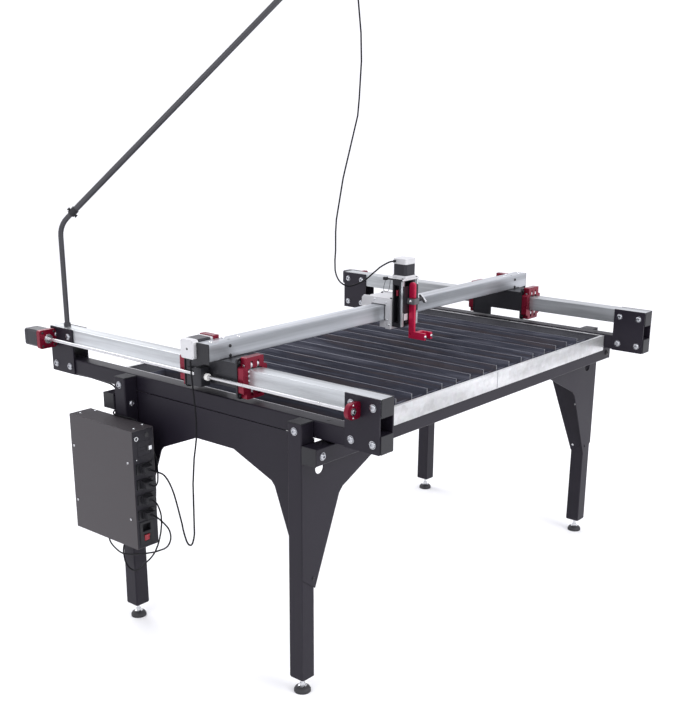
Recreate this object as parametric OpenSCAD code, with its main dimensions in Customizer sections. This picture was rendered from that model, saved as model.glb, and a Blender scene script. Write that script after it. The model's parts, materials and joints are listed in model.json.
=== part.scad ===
// CNC plasma table: steel stand with a water tray, two raised rails, a driven gantry,
// a motorised torch lifter, a control box on one leg and a boom that carries the torch lead.
// X runs along the gantry, Y along the rails (front is -Y), Z is up and the floor is at z = 0.

/* [Frame tubes] */
// Side of every square tube
tube = 50.8; // [49:0.2:53]
// Wall of every square tube
tube_wall = 3.2; // [2.4:0.2:4]
// Length of the rails and of the base tubes under them
rail_l = 1400; // [1350:10:1450]
// Distance between the centre lines of the two rails
rail_gauge = 1523; // [1480:1:1560]
// How far the middle of the rails lies behind the middle of the legs
rail_shift = 76; // [66:1:86]
// Distance between the centres of a front and a rear leg
leg_span = 739; // [720:1:750]
// Height of the open leg ends above the floor
leg_clear = 49; // [44:1:54]
// Height of the top of the cross beams
cross_top = 766; // [740:2:790]
// Height of the base tubes above the cross beams
base_gap = 9; // [7:0.5:12]
// How far the legs reach up beside the base tubes
leg_reach = 47; // [40:1:50]
// Thickness of the plastic caps in the tube ends
cap_t = 3; // [2:0.5:4]

/* [Plates] */
// Height of the end plates that carry the rails
plate_h = 150; // [144:1:156]
// Width of the end plates along the rails
plate_w = 117; // [110:1:124]
// Thickness of the end plates
plate_t = 5; // [4:0.5:6]
// Distance of the end plate bolts from the plate edges
plate_edge = 22; // [20:1:25]
// Thickness of the folded panels under the frame
panel_t = 3; // [2:0.5:3]
// Height of the aprons and gussets below the frame at mid span
panel_arch = 99; // [90:1:110]
// How far the aprons and gussets reach down the legs
panel_drop = 436; // [400:2:460]
// Radius of the relief holes beside the legs
relief_r = 17; // [14:1:20]
// Radius of the frame bolt shanks
bolt_r = 4; // [3.5:0.5:5]
// Radius of the domed bolt heads
bolt_head_r = 9; // [8:0.5:10]

/* [Feet] */
// Radius of the rubber foot pads
foot_pad_r = 25; // [20:1:28]
// Height of the rubber foot pads
foot_pad_h = 20; // [16:1:24]
// Radius of the levelling studs
foot_stud_r = 5; // [4:0.5:6]
// Length of a levelling stud above its pad
foot_stud_l = 75; // [65:1:90]

/* [Tray and slats] */
// Length of the water tray along the rails
tray_l = 944; // [920:2:960]
// Height of the water tray
tray_h = 56; // [50:1:62]
// Sheet thickness of the water tray
tray_t = 2; // [1.5:0.5:3]
// Width of the flange round the top of the tray
tray_flange = 10; // [6:1:14]
// Number of slats
slat_count = 17; // [15:1:18]
// Distance between neighbouring slats
slat_pitch = 77; // [70:1:79]
// Thickness of a slat
slat_t = 3.2; // [2.4:0.2:5]
// Height of a slat
slat_h = 50; // [44:1:52]
// Length of a slat
slat_l = 850; // [820:2:870]
// Side clearance of a slat in its slot
slat_play = 0.3; // [0.2:0.1:0.6]

/* [Trucks] */
// Length of a truck along its rail
truck_l = 264; // [240:1:290]
// How far the front end of the trucks lies in front of the middle of the legs
truck_front = 151; // [145:1:157]
// Thickness of the red roller brackets
bracket_t = 22; // [20:1:26]
// Width of the red roller brackets
bracket_w = 96; // [94:1:102]
// Thickness of the black truck plates
truck_t = 8; // [6:0.5:8]
// Clearance between a truck and its rail
rail_play = 2; // [1.5:0.5:3]
// Radius of the rollers
roller_r = 11; // [9:0.5:12]
// Width of a roller
roller_w = 7; // [6:0.5:9]
// Radius of the roller axles
axle_r = 4; // [3:0.5:5]
// Radial clearance of a turning shaft in its bore
fit = 0.05; // [0.03:0.01:0.08]

/* [Drives] */
// Radius of the long lead screws
screw_r = 5; // [4.5:0.5:6]
// Distance of a side lead screw from the outer face of its rail
screw_out = 36; // [34:1:38]
// Height of the side lead screws above the bottom of the rails
screw_up = 15; // [12:1:18]
// Side of a motor
motor_w = 56.4; // [54:0.2:57]
// Length of a drive motor
motor_l = 76; // [66:1:90]
// Size of the red motor mounts
mount_w = 68; // [64:1:72]
// Thickness of the red motor mounts
mount_t = 16; // [12:1:20]
// Radius of the red bearing blocks at the front
bearing_block_r = 22.5; // [20:0.5:26]
// Radius of the white nuts on the lead screws
nut_r = 8; // [8:0.5:10]
// Length of the white nuts
nut_l = 30; // [26:1:32]
// Length of the black block that carries a nut of a side screw
nut_block_l = 84; // [76:1:90]

/* [Gantry] */
// How far the gantry tube reaches beyond the middle of each rail
beam_over = 88.5; // [82:0.5:92]
// Height of the gantry tube above the rails
beam_gap = 18; // [16:1:20]
// How far the front of the gantry tube lies in front of the middle of the legs
beam_front = 60; // [56:1:64]
// Width of the carriage on the gantry tube
carriage_w = 108; // [100:1:112]
// Thickness of the carriage plates
carriage_t = 6; // [5:0.5:7]

/* [Torch lifter] */
// Width of the lifter housing
lifter_w = 90; // [84:1:96]
// Height of the lifter housing
lifter_h = 155; // [145:1:165]
// Length of the lifter motor
lifter_motor_l = 64; // [56:1:70]
// Radius of the lifter screw
lifter_screw_r = 4; // [3:0.5:5]
// Height of the lifter plate
lifter_plate_h = 95; // [90:1:100]
// Width of the red torch arm
arm_w = 22; // [20:1:26]
// Thickness of the red torch arm
arm_t = 9; // [8:0.5:12]
// Height of the red torch arm
arm_h = 188; // [180:1:196]
// Radius of the torch body that the fork holds
torch_r = 15; // [13:0.5:16]

/* [Control box] */
// Width of the control box along the rails
box_w = 305; // [290:1:320]
// Height of the control box
box_h = 383; // [370:1:396]
// Depth of the control box
box_d = 83; // [80:1:90]
// Sheet thickness of the control box
box_t = 1.6; // [1.2:0.2:2]

/* [Boom] */
// Radius of the bent mast tube
mast_r = 8.5; // [8:0.5:12]
// Wall of the sliding boom tube
boom_wall = 1.4; // [1.2:0.1:2]
// Height of the straight part of the mast
mast_h = 285; // [260:1:330]
// Centre line radius of the mast bend
bend_r = 80; // [70:1:100]
// Rise of the boom above the horizontal
boom_rise = 43.8; // [40:0.2:50]
// Length of the sliding boom tube
boom_l = 1156; // [1000:4:1200]
// Length of the mast's straight end inside the boom tube
mast_tail = 560; // [500:10:600]

/* [Hidden] */
$fn = 32;

rail_x = rail_gauge / 2;
leg_x = rail_x + tube;
leg_y = leg_span / 2;
rail_front = rail_shift - rail_l / 2;
rail_rear = rail_shift + rail_l / 2;
base_z = cross_top + base_gap;
rail_z = base_z + plate_h - tube;
rail_top = rail_z + tube;
leg_top = base_z + leg_reach;
cross_z = cross_top - tube;
cross_y = leg_y + tube + panel_t;
tray_x = rail_x - tube / 2 - 0.5;
tray_top = cross_top + tray_h;
slat_z = cross_top + tray_t + 5;
comb_y = slat_l / 2 - 14;
comb_t = 3;
truck_rear = truck_l - truck_front;
ring_in = tube / 2 + rail_play;
ring_low = 25;
ring_high = 35;
wiper_play = 0.5;
nut_y = -14;
screw_x = rail_x + tube / 2 + screw_out;
screw_z = rail_z + screw_up;
mount_y = rail_rear - 30;
bearing_y = rail_front + 62;
bearing_t = 13;
truck_plate_z = rail_top + beam_gap - truck_t;
beam_z = rail_top + beam_gap;
beam_top = beam_z + tube;
beam_rear = tube - beam_front;
beam_side = rail_x + beam_over;
x_axis_y = beam_rear + motor_w / 2 + 1.5;
x_axis_z = beam_z + motor_w / 2 + 0.7;
x_motor_x = -beam_side - 12;
x_mount_x = x_motor_x + motor_l + 6;
carriage_x = carriage_w / 2;
carriage_front = beam_front + 25;
carriage_top = beam_top + 25;
carriage_low = beam_z - 28;
housing_front = carriage_front + 34;
z_axis_y = -carriage_front - 13;
z_low = carriage_low + 9;
z_high = z_low + lifter_h;
lead_z = z_high + 61;
lead_y = z_axis_y + 18;
z_plate_z = z_low + 12;
z_plate_front = housing_front + 8;
z_plate_w = lifter_w - 38;
arm_x = -12;
arm_y = -z_plate_front - 3;
arm_z = z_low - 38;
fork_t = 23;
fork_gap = 24;
clamp_z = arm_z + 116;
arch_run = 264;
gusset_run = 350;
gusset_knee = 97;
gusset_rise = 232;
box_back = leg_x + tube / 2;
box_front_x = box_back + box_d;
box_y = leg_y - box_w / 2 + 0.5;
box_z = 314;
plug_z = [573, 523, 474, 424];
plug_x = -box_front_x + 43;
plug_out = 30;
switch_at = [-box_front_x + 37, box_y + 4, box_z + 33];
mast_y = rail_rear - 54;
mast_foot = 12;
bend_turn = 90 - boom_rise;
bend_z = rail_top + mast_foot + mast_h;
boom_start = 32;
knob_r = 3;
knob_turns = [0, 180];
cord_r = 2.6;
side_cord_r = 2.5;
boom_aim = [cos(boom_rise) * sqrt(0.5), -cos(boom_rise) * sqrt(0.5), sin(boom_rise)];
bend_out = bend_r * (1 - cos(bend_turn)) * sqrt(0.5);
boom_tip = [-rail_x + bend_out, mast_y - bend_out, bend_z + bend_r * sin(bend_turn)]
    + (boom_start + boom_l + 4) * boom_aim;
plug_y = box_y - plug_out;
leg_in = leg_y - tube / 2;
under_z = base_z - 6;
side_cord_x = rail_x + 10.5;
behind_y = cross_y + 40;

// Routes of the cords through points in the frame of the legs
route_gantry = [
    [x_motor_x + 5, x_axis_y - 7, x_axis_z - motor_w / 2],
    [x_motor_x + 5, x_axis_y - 7, x_axis_z - motor_w / 2 - 6],
    [x_motor_x + 4, 12, 922], [x_motor_x + 2, 7, 890], [x_motor_x - 2, -7, 803], [x_motor_x - 4, -10, 714],
    [x_motor_x - 6, 1, 650], [x_motor_x - 8, 8, 570], [x_motor_x - 10, 8, 436], [x_motor_x - 10, 11, 398],
    [x_motor_x - 11, 30, 368], [x_motor_x - 12, 51, 396], [x_motor_x - 13, 59, 430], [plug_x + 1, 73, 480],
    [plug_x, 96, 538], [plug_x, 128, 570], [plug_x, 160, plug_z[0]], [plug_x, plug_y, plug_z[0]]
];
route_y_left = [
    [plug_x, plug_y, plug_z[3]], [plug_x, plug_y - 5, plug_z[3]], [plug_x, plug_y - 18, plug_z[3] - 2],
    [plug_x + 4, 145, 409], [plug_x + 8, 127, 392], [plug_x + 9, 121, 368], [plug_x + 9, 132, 340],
    [plug_x + 9, 155, 319], [plug_x + 9, 247, 277], [plug_x + 9, 303, 258], [plug_x + 10, 361, 244],
    [plug_x + 13, 397, 247], [plug_x + 20, 440, 264], [-leg_x - 28, behind_y, 285],
    [-leg_x - 16, behind_y + 2, 320], [-leg_x - 6, behind_y + 2, 380], [-leg_x + 14, behind_y + 1, 520],
    [-side_cord_x, behind_y, 660], [-side_cord_x, behind_y, cross_top - 31],
    [-side_cord_x, behind_y + 12, base_z - 15], [-side_cord_x, behind_y + 40, under_z],
    [-side_cord_x, rail_rear - 76, under_z], [-side_cord_x + 2, rail_rear - 16, under_z],
    [-side_cord_x + 4, rail_rear + 2, base_z - 4], [-side_cord_x + 6, rail_rear + 16, base_z + 6],
    [-side_cord_x + 7, rail_rear + 21, base_z + 25], [-side_cord_x + 7, rail_rear + 21, screw_z - 39],
    [-side_cord_x + 6, rail_rear + 22, screw_z - 19], [-side_cord_x - 1, rail_rear + 23, screw_z - 5],
    [-side_cord_x - 13, rail_rear + 24, screw_z], [-screw_x + motor_w / 2, rail_rear + 24, screw_z]
];
route_y_right = [
    [plug_x, plug_y, plug_z[2]], [plug_x, plug_y - 5, plug_z[2]], [plug_x + 1, plug_y - 16, plug_z[2] - 5],
    [plug_x + 8, 168, 450], [plug_x + 18, 172, 420], [plug_x + 23, 184, 362], [plug_x + 23, 215, 289],
    [plug_x + 23, 266, 234], [plug_x + 22, 327, 190], [plug_x + 22, 363, 202], [plug_x + 23, 375, 231],
    [plug_x + 23, 373, 262], [-leg_x - 38, 358, 287], [-leg_x - 28, leg_in - 10, 303],
    [-leg_x - 12, leg_in - 26, 328], [-leg_x + 12, leg_in - 40, 360], [-leg_x + 32, leg_in - 45, 398],
    [-leg_x + 42, leg_in - 43, 450], [-leg_x + 45, leg_in - 36, 600], [-leg_x + 50, leg_in - 22, 680],
    [-leg_x + 70, leg_in + 4, 722], [-leg_x + 112, leg_in + 36, 736], [-leg_x + 210, leg_in + 46, 737],
    [leg_x - 210, leg_in + 46, 737], [leg_x - 110, leg_in + 40, 724], [leg_x - 73, leg_in + 35, 703],
    [leg_x - 51, leg_in + 40, 690], [leg_x - 45, leg_in + 54, cross_z - 29],
    [leg_x - 44, leg_in + 80, cross_z - 30], [leg_x - 44, leg_in + 102, cross_z - 23],
    [leg_x - 45, leg_in + 115, cross_z - 7], [side_cord_x - 6, behind_y, cross_z + 20],
    [side_cord_x - 6, behind_y + 9, base_z - 18], [side_cord_x - 5, behind_y + 34, under_z],
    [side_cord_x, behind_y + 60, under_z], [side_cord_x, rail_rear - 76, under_z],
    [side_cord_x - 2, rail_rear - 16, under_z], [side_cord_x - 4, rail_rear + 2, base_z - 4],
    [side_cord_x - 6, rail_rear + 16, base_z + 6], [side_cord_x - 7, rail_rear + 21, base_z + 25],
    [side_cord_x - 7, rail_rear + 21, screw_z - 39], [side_cord_x - 6, rail_rear + 22, screw_z - 19],
    [side_cord_x + 1, rail_rear + 23, screw_z - 5], [side_cord_x + 13, rail_rear + 24, screw_z],
    [screw_x - motor_w / 2, rail_rear + 24, screw_z]
];
route_boom = [
    [plug_x, plug_y, plug_z[1]], [plug_x, plug_y - 5, plug_z[1]], [plug_x + 0.7, 171.5, plug_z[1] + 2.5],
    [plug_x + 3.7, 165.5, 535], [plug_x + 9.7, 169, 549], [plug_x + 19.2, 180, 563],
    [plug_x + 30, 193.5, 576], [plug_x + 39.5, 206, 588], [-box_back + 5.5, 224, 606],
    [-box_back + 6, 243, 627], [-box_back + 6, 264, 651], [-box_back + 6, 284, 677],
    [-box_back + 4, 299, box_z + box_h - 2], [-box_back - 1.5, 316, box_z + box_h + 6],
    [-box_back - 5, 336, box_z + box_h + 6], [-box_back - 5, leg_in + 40, box_z + box_h + 5],
    [-box_back - 4.5, leg_in + 53, box_z + box_h + 5], [-box_back + 2, leg_in + 65, box_z + box_h + 6],
    [-leg_x - 9, leg_in + 77, box_z + box_h + 7], [-leg_x + 20, leg_in + 98, box_z + box_h + 8],
    [-leg_x + 42, leg_in + 112, box_z + box_h + 19], [-rail_x + 6, behind_y, cross_z + 22],
    [-rail_x + 6, behind_y + 12, base_z - 16], [-rail_x + 6, behind_y + 40, under_z],
    [-rail_x + 9, 620, under_z], [-rail_x + 18, rail_rear - 76, under_z],
    [-rail_x + 31, rail_rear - 36, base_z - 6], [-rail_x + 34.5, rail_rear - 18, base_z + 1],
    [-rail_x + 35, rail_rear - 9, base_z + 17], [-rail_x + 35, rail_rear - 8, base_z + 37],
    [-rail_x + 35, rail_rear - 8, rail_top - 25], [-rail_x + 35, rail_rear - 8, rail_top - 6],
    [-rail_x + 33, rail_rear - 11, rail_top + 10], [-rail_x + 24, mast_y + 33, rail_top + 20],
    [-rail_x + 14.5, mast_y + 20.4, rail_top + 23], [-rail_x + 4.6, mast_y + 6.5, rail_top + 23]
];
route_z_upper = [
    boom_tip, boom_tip + 12 * boom_aim, boom_tip + [22, -26, 3], boom_tip + [30, -45, -40],
    [-98, 29, 1941], [-93, 21, 1846], [-92, 19, 1763], [-95, 24, 1652], [-97, 28, 1599],
    [-119, 69, 1404], [-130, 88, 1270], [-131, 90, 1230], [-131, 90, 1204]
];
route_z_lower = [
    [-131, 90, 1204], [-131, 90, 1170], [-132, 91, 1104], [-126, 79, 1070], [-116, 62, 1055],
    [-107, 46, 1053], [-96, 27, 1060], [-83, 3, 1074], [-73, -20, 1096], [-64, -46, 1120],
    [-60, lead_y + 17, lead_z - 9], [-56, lead_y + 7, lead_z - 3], [-49, lead_y + 1.5, lead_z],
    [-42, lead_y, lead_z], [-motor_w / 2 - 8, lead_y, lead_z]
];

// The row's origin is under the middle of the whole outline
edge_left = -box_front_x - 2;
edge_right = screw_x + mount_w / 2;
edge_front = rail_front - cap_t;
edge_rear = mount_y + mount_t + motor_l;
origin = [(edge_left + edge_right) / 2, (edge_front + edge_rear) / 2, 0];

module placed() {
    translate(-origin) children();
}

module both_sides() {
    children();
    mirror([1, 0, 0]) children();
}

module both_ends() {
    children();
    mirror([0, 1, 0]) children();
}

module block(low, high) {
    translate(low) cube(high - low);
}

module rod(low, length, radius, axis = "z") {
    turn = axis == "x" ? [0, 90, 0] : axis == "y" ? [-90, 0, 0] : [0, 0, 0];
    translate(low) rotate(turn) cylinder(h = length, r = radius);
}

// Square tube along Y, centred on x, standing on z
module tube_y(x, front, length, z) {
    difference() {
        block([x - tube / 2, front, z], [x + tube / 2, front + length, z + tube]);
        block(
            [x - tube / 2 + tube_wall, front - 1, z + tube_wall],
            [x + tube / 2 - tube_wall, front + length + 1, z + tube - tube_wall]
        );
    }
}

// Square tube along X with its front face at y
module tube_x(half, y, z) {
    difference() {
        block([-half, y, z], [half, y + tube, z + tube]);
        block(
            [-half - 1, y + tube_wall, z + tube_wall],
            [half + 1, y + tube - tube_wall, z + tube - tube_wall]
        );
    }
}

// Domed bolt head with a hex socket, head outwards along the given axis
module dome_bolt(at, aim, shank = 8, head = bolt_head_r, radius = bolt_r) {
    turn = aim == "+x" ? [0, 90, 0] : aim == "-x" ? [0, -90, 0]
        : aim == "+y" ? [-90, 0, 0] : aim == "-y" ? [90, 0, 0]
        : aim == "-z" ? [180, 0, 0] : [0, 0, 0];
    translate(at) rotate(turn) difference() {
        union() {
            intersection() {
                cylinder(h = head, r = head);
                translate([0, 0, -head * 0.75]) sphere(r = head * 1.25);
            }
            translate([0, 0, -shank]) cylinder(h = shank + 0.01, r = radius);
        }
        translate([0, 0, head * 0.2]) cylinder(h = head, r = head * 0.45, $fn = 6);
    }
}

module bolt_hole(at, aim, depth = 8.5, radius = bolt_r) {
    turn = aim == "x" ? [0, 90, 0] : aim == "y" ? [-90, 0, 0] : [0, 0, 0];
    translate(at) rotate(turn) translate([0, 0, -depth]) cylinder(h = 2 * depth, r = radius + 0.2);
}

// Middles of the four bolts in each end plate, as [y, z]
plate_bolts = [
    for (end = [rail_front, rail_rear - plate_w])
        for (y = [plate_edge, plate_w - plate_edge])
            for (z = [tube / 2, plate_h - tube / 2])
                [end + y, base_z + z]
];

module plate_bolt_holes(x) {
    for (p = plate_bolts) bolt_hole([x, p[0], p[1]], "x", depth = tube / 2 + plate_t + 1);
}

module legs() {
    color("#2c2d33") placed() both_sides() both_ends() difference() {
        block([leg_x - tube / 2, leg_y - tube / 2, leg_clear], [leg_x + tube / 2, leg_y + tube / 2, leg_top]);
        block(
            [leg_x - tube / 2 + tube_wall, leg_y - tube / 2 + tube_wall, leg_clear + cap_t * 2],
            [leg_x + tube / 2 - tube_wall, leg_y + tube / 2 - tube_wall, leg_top + 1]
        );
        rod([leg_x, leg_y, leg_clear - 1], cap_t * 2 + 2, foot_stud_r + fit);
        bolt_hole([leg_x + tube / 2, leg_y, base_z + tube / 2], "x", depth = tube_wall + 1);
        bolt_hole([leg_x, leg_y + tube / 2, cross_z + tube / 2], "y", depth = tube_wall + 1);
        bolt_hole([leg_x, leg_in, cross_z + tube / 2], "y", depth = tube_wall + 1);
    }
}

module cross_beams() {
    color("#2c2d33") placed() both_ends() difference() {
        tube_x(leg_x + tube / 2, cross_y - tube / 2, cross_z);
        both_sides() bolt_hole([leg_x, cross_y + tube / 2, cross_z + tube / 2], "y", depth = tube_wall + 1);
    }
}

module base_tubes() {
    color("#2c2d33") placed() both_sides() difference() {
        tube_y(rail_x, rail_front, rail_l, base_z);
        plate_bolt_holes(rail_x);
    }
}

module tube_caps() {
    color("#1b1c20") placed() {
        both_sides() {
            for (z = [base_z, rail_z]) {
                block([rail_x - tube / 2, rail_front - cap_t, z], [rail_x + tube / 2, rail_front, z + tube]);
                block([rail_x - tube / 2, rail_rear, z], [rail_x + tube / 2, rail_rear + cap_t, z + tube]);
            }
            both_ends() {
                block(
                    [leg_x - tube / 2, leg_y - tube / 2, leg_top],
                    [leg_x + tube / 2, leg_y + tube / 2, leg_top + cap_t]
                );
                block(
                    [leg_x + tube / 2, cross_y - tube / 2, cross_z],
                    [leg_x + tube / 2 + cap_t, cross_y + tube / 2, cross_top]
                );
            }
        }
    }
}

// Half outline of an arched panel between two legs whose inner faces lie at reach
function arch_half(reach, top, fold) = [
    [0, top],
    [reach + tube, top],
    [reach + tube, base_z - panel_drop + 40],
    [reach, base_z - panel_drop],
    [reach - 100, base_z - panel_arch - 75],
    [reach - 112, base_z - panel_arch - 62],
    [fold, base_z - panel_arch],
    [0, base_z - panel_arch]
];

module side_aprons() {
    reach = leg_y - tube / 2;
    x = rail_x + tube / 2;
    color("#2c2d33") placed() both_sides() {
        translate([x - panel_t, 0, 0]) rotate([90, 0, 90]) linear_extrude(panel_t)
            both_flat() polygon(arch_half(reach, base_z - 0.3, reach - arch_run));
        block(
            [x - panel_t - 36, -reach + 60, base_z - 0.3 - panel_t],
            [x - panel_t, reach - 60, base_z - 0.3]
        );
    }
}

// Mirrors a flat outline to both sides of its first axis
module both_flat() {
    children();
    mirror([1, 0]) children();
}

module corner_gussets() {
    reach = leg_x - tube / 2;
    y = leg_y + tube / 2;
    color("#2c2d33") placed() both_ends() difference() {
        translate([0, y + panel_t, 0]) rotate([90, 0, 0]) linear_extrude(panel_t) both_flat()
            polygon([
                [reach - gusset_run, cross_top - tube],
                [reach - gusset_run, cross_top - 8],
                [reach + tube, cross_top - 8],
                [reach + tube, base_z - panel_drop + 30],
                [reach, base_z - panel_drop - 10],
                [reach - gusset_knee, base_z - panel_drop + gusset_rise],
                [reach - gusset_knee - 7, base_z - panel_drop + gusset_rise + 18],
                [reach - gusset_knee - 22, base_z - panel_drop + gusset_rise + 34]
            ]);
        both_sides() {
            rod([reach - 19, y - 1, cross_z - 30], panel_t + 2, relief_r, "y");
            bolt_hole([leg_x, cross_y - tube / 2, cross_z + tube / 2], "y", depth = tube);
        }
    }
}

module rails() {
    color("#c9ced1") placed() both_sides() difference() {
        tube_y(rail_x, rail_front, rail_l, rail_z);
        plate_bolt_holes(rail_x);
    }
}

module end_plates() {
    color("#26272c") placed() both_sides() difference() {
        for (x = [rail_x - tube / 2 - plate_t, rail_x + tube / 2])
            for (y = [rail_front, rail_rear - plate_w])
                block([x, y, base_z], [x + plate_t, y + plate_w, base_z + plate_h]);
        plate_bolt_holes(rail_x);
    }
}

module frame_bolts() {
    color("#d5d7da") placed() {
        both_sides() {
            for (p = plate_bolts) {
                dome_bolt([rail_x + tube / 2 + plate_t, p[0], p[1]], "+x", shank = plate_t + tube_wall);
                dome_bolt([rail_x - tube / 2 - plate_t, p[0], p[1]], "-x", shank = plate_t + tube_wall);
            }
            both_ends() {
                dome_bolt([leg_x + tube / 2, leg_y, base_z + tube / 2], "+x", shank = tube_wall);
                dome_bolt([leg_x, cross_y + tube / 2, cross_z + tube / 2], "+y", shank = tube_wall);
                dome_bolt([leg_x, leg_in, cross_z + tube / 2], "-y", shank = tube_wall);
                translate([leg_x, leg_y, leg_clear - 6]) difference() {
                    cylinder(h = 6, r = foot_stud_r * 1.8, $fn = 6);
                    translate([0, 0, -1]) cylinder(h = 8, r = foot_stud_r + fit);
                }
            }
        }
    }
}

module foot(x, y) {
    color("#8d9094") placed() translate([x * leg_x, y * leg_y, 0]) {
        rotate_extrude() polygon([
            [0, 0],
            [foot_pad_r, 0],
            [foot_pad_r, foot_pad_h * 0.35],
            [foot_pad_r * 0.86, foot_pad_h * 0.65],
            [foot_pad_r * 0.5, foot_pad_h * 0.92],
            [foot_stud_r * 1.6, foot_pad_h],
            [0, foot_pad_h]
        ]);
        cylinder(h = foot_pad_h + foot_stud_l, r = foot_stud_r);
        translate([0, 0, foot_pad_h]) cylinder(h = 7, r = foot_stud_r * 1.7, $fn = 6);
    }
}

module foot_front_left() foot(-1, -1);

module foot_front_right() foot(1, -1);

module foot_rear_left() foot(-1, 1);

module foot_rear_right() foot(1, 1);

module water_tray() {
    y = tray_l / 2;
    color("#c4c8ca") placed() difference() {
        block([-tray_x, -y, cross_top], [tray_x, y, tray_top]);
        block(
            [-tray_x + tray_t, -y + tray_t, cross_top + tray_t],
            [tray_x - tray_t, y - tray_t, tray_top - tray_t]
        );
        block(
            [-tray_x + tray_flange, -y + tray_flange, cross_top + tray_t],
            [tray_x - tray_flange, y - tray_flange, tray_top + 1]
        );
    }
}

slat_xs = [for (i = [0 : slat_count - 1]) (i - (slat_count - 1) / 2) * slat_pitch];

module slat_combs() {
    color("#55565a") placed() both_ends() difference() {
        block(
            [-tray_x + tray_t + 0.3, comb_y - comb_t, cross_top + tray_t],
            [tray_x - tray_t - 0.3, comb_y, slat_z + slat_h * 0.6]
        );
        for (x = slat_xs) block(
            [x - slat_t / 2 - slat_play, comb_y - comb_t - 1, slat_z],
            [x + slat_t / 2 + slat_play, comb_y + 1, slat_z + slat_h]
        );
    }
}

module slats() {
    color("#4a4644") placed() for (x = slat_xs)
        block([x - slat_t / 2, -slat_l / 2, slat_z], [x + slat_t / 2, slat_l / 2, slat_z + slat_h]);
}

// Stepper motor from its mounting face at z = 0 back to z = length, with chamfered corners
module motor(length) {
    cut = 5;
    cap = 9;
    h = motor_w / 2;
    linear_extrude(cap) square(motor_w, center = true);
    translate([0, 0, cap]) linear_extrude(length - 2 * cap) polygon([
        [h, h - cut], [h - cut, h], [cut - h, h], [-h, h - cut],
        [-h, cut - h], [cut - h, -h], [h - cut, -h], [h, cut - h]
    ]);
    translate([0, 0, length - cap]) linear_extrude(cap) polygon([
        [h, h - cut], [h - cut, h], [cut - h, h], [-h, h - cut],
        [-h, cut - h], [cut - h, -h], [h - cut, -h], [h, cut - h]
    ]);
}

module y_motors() {
    color("#2a2b2e") placed() both_sides()
        translate([screw_x, mount_y + mount_t, screw_z]) rotate([-90, 0, 0]) motor(motor_l);
}

module y_screw_mounts() {
    face = rail_x + tube / 2 + plate_t;
    color("#b01a2b") placed() both_sides() difference() {
        union() {
            block(
                [face, mount_y, screw_z - mount_w / 2 + 3],
                [screw_x + mount_w / 2, mount_y + mount_t, screw_z + mount_w / 2 - 3]
            );
            rod([screw_x, bearing_y, screw_z], bearing_t, bearing_block_r, "y");
            block(
                [face, bearing_y, screw_z - bearing_block_r],
                [screw_x, bearing_y + bearing_t, screw_z + bearing_block_r]
            );
        }
        rod([screw_x, mount_y - 1, screw_z], mount_t + 2, screw_r + fit, "y");
        rod([screw_x, bearing_y - 1, screw_z], bearing_t + 2, screw_r + fit, "y");
        rod([screw_x, bearing_y - 1, screw_z], 5, screw_r + 4, "y");
        rod([face - 1, rail_rear - plate_edge, rail_z + tube / 2], 6, bolt_head_r + 0.5, "x");
    }
}

module y_screw(side) {
    color("#b9babd") placed() mirror([side < 0 ? 1 : 0, 0, 0])
        rod([screw_x, bearing_y, screw_z], mount_y + mount_t - 0.3 - bearing_y, screw_r, "y");
}

module y_screw_left() y_screw(-1);

module y_screw_right() y_screw(1);

module gantry_beam() {
    color("#9aa0a6") placed() difference() {
        tube_x(beam_side, -beam_front, beam_z);
        both_sides() for (y = [-beam_front + 14, beam_rear - 14])
            rod([rail_x, y, beam_z - 1], tube + 2, bolt_r + 0.2);
    }
}

module beam_end_plates() {
    color("#1b1c20") placed() both_sides()
        block([beam_side, -beam_front, beam_z - 8], [beam_side + cap_t, beam_rear, beam_top]);
}

// Outline of a roller bracket as [x, z] about its rail
module bracket_outline() {
    arm = bracket_w / 2;
    polygon([
        [-arm, rail_z - ring_low + 8], [-arm, rail_top + 7], [-ring_high, rail_top + 10],
        [-ring_high, rail_top + ring_high], [ring_high, rail_top + ring_high], [ring_high, rail_top + 10],
        [arm, rail_top + 7], [arm, rail_z - ring_low + 8], [ring_high, rail_z - ring_low + 4],
        [ring_high, rail_z - ring_high], [-ring_high, rail_z - ring_high], [-ring_high, rail_z - ring_low + 4]
    ]);
}

bracket_ys = [-truck_front, truck_rear - bracket_t];
roller_xs = [-13, 13];
roller_gap = 0.1;
roller_top_z = rail_top + roller_r + roller_gap;
roller_low_z = rail_z - roller_r - roller_gap;

module truck_brackets() {
    color("#b01a2b") placed() both_sides() for (y = bracket_ys) difference() {
        translate([rail_x, y + bracket_t, 0]) rotate([90, 0, 0]) linear_extrude(bracket_t) difference() {
            bracket_outline();
            translate([-ring_in, rail_z - rail_play]) square([2 * ring_in, tube + 2 * rail_play]);
        }
        for (x = roller_xs, z = [roller_top_z, roller_low_z]) block(
            [rail_x + x - roller_w / 2 - 0.5, y - 1, z - roller_r - 4],
            [rail_x + x + roller_w / 2 + 0.5, y + bracket_t + 1, z + roller_r + 1]
        );
        for (z = [roller_top_z, roller_low_z])
            rod([rail_x - ring_high - 1, y + bracket_t / 2, z], 2 * ring_high + 2, axle_r + fit, "x");
    }
}

// A pair of rollers on one axle in each truck
module rollers(y, z) {
    color("#a9acb0") placed() for (side = [-1, 1]) {
        rod([side * rail_x - ring_high, y + bracket_t / 2, z], 2 * ring_high, axle_r, "x");
        for (x = roller_xs)
            rod([side * rail_x + x - roller_w / 2, y + bracket_t / 2, z], roller_w, roller_r, "x");
    }
}

module rollers_top_front() rollers(bracket_ys[0], roller_top_z);

module rollers_top_rear() rollers(bracket_ys[1], roller_top_z);

module rollers_bottom_front() rollers(bracket_ys[0], roller_low_z);

module rollers_bottom_rear() rollers(bracket_ys[1], roller_low_z);

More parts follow.
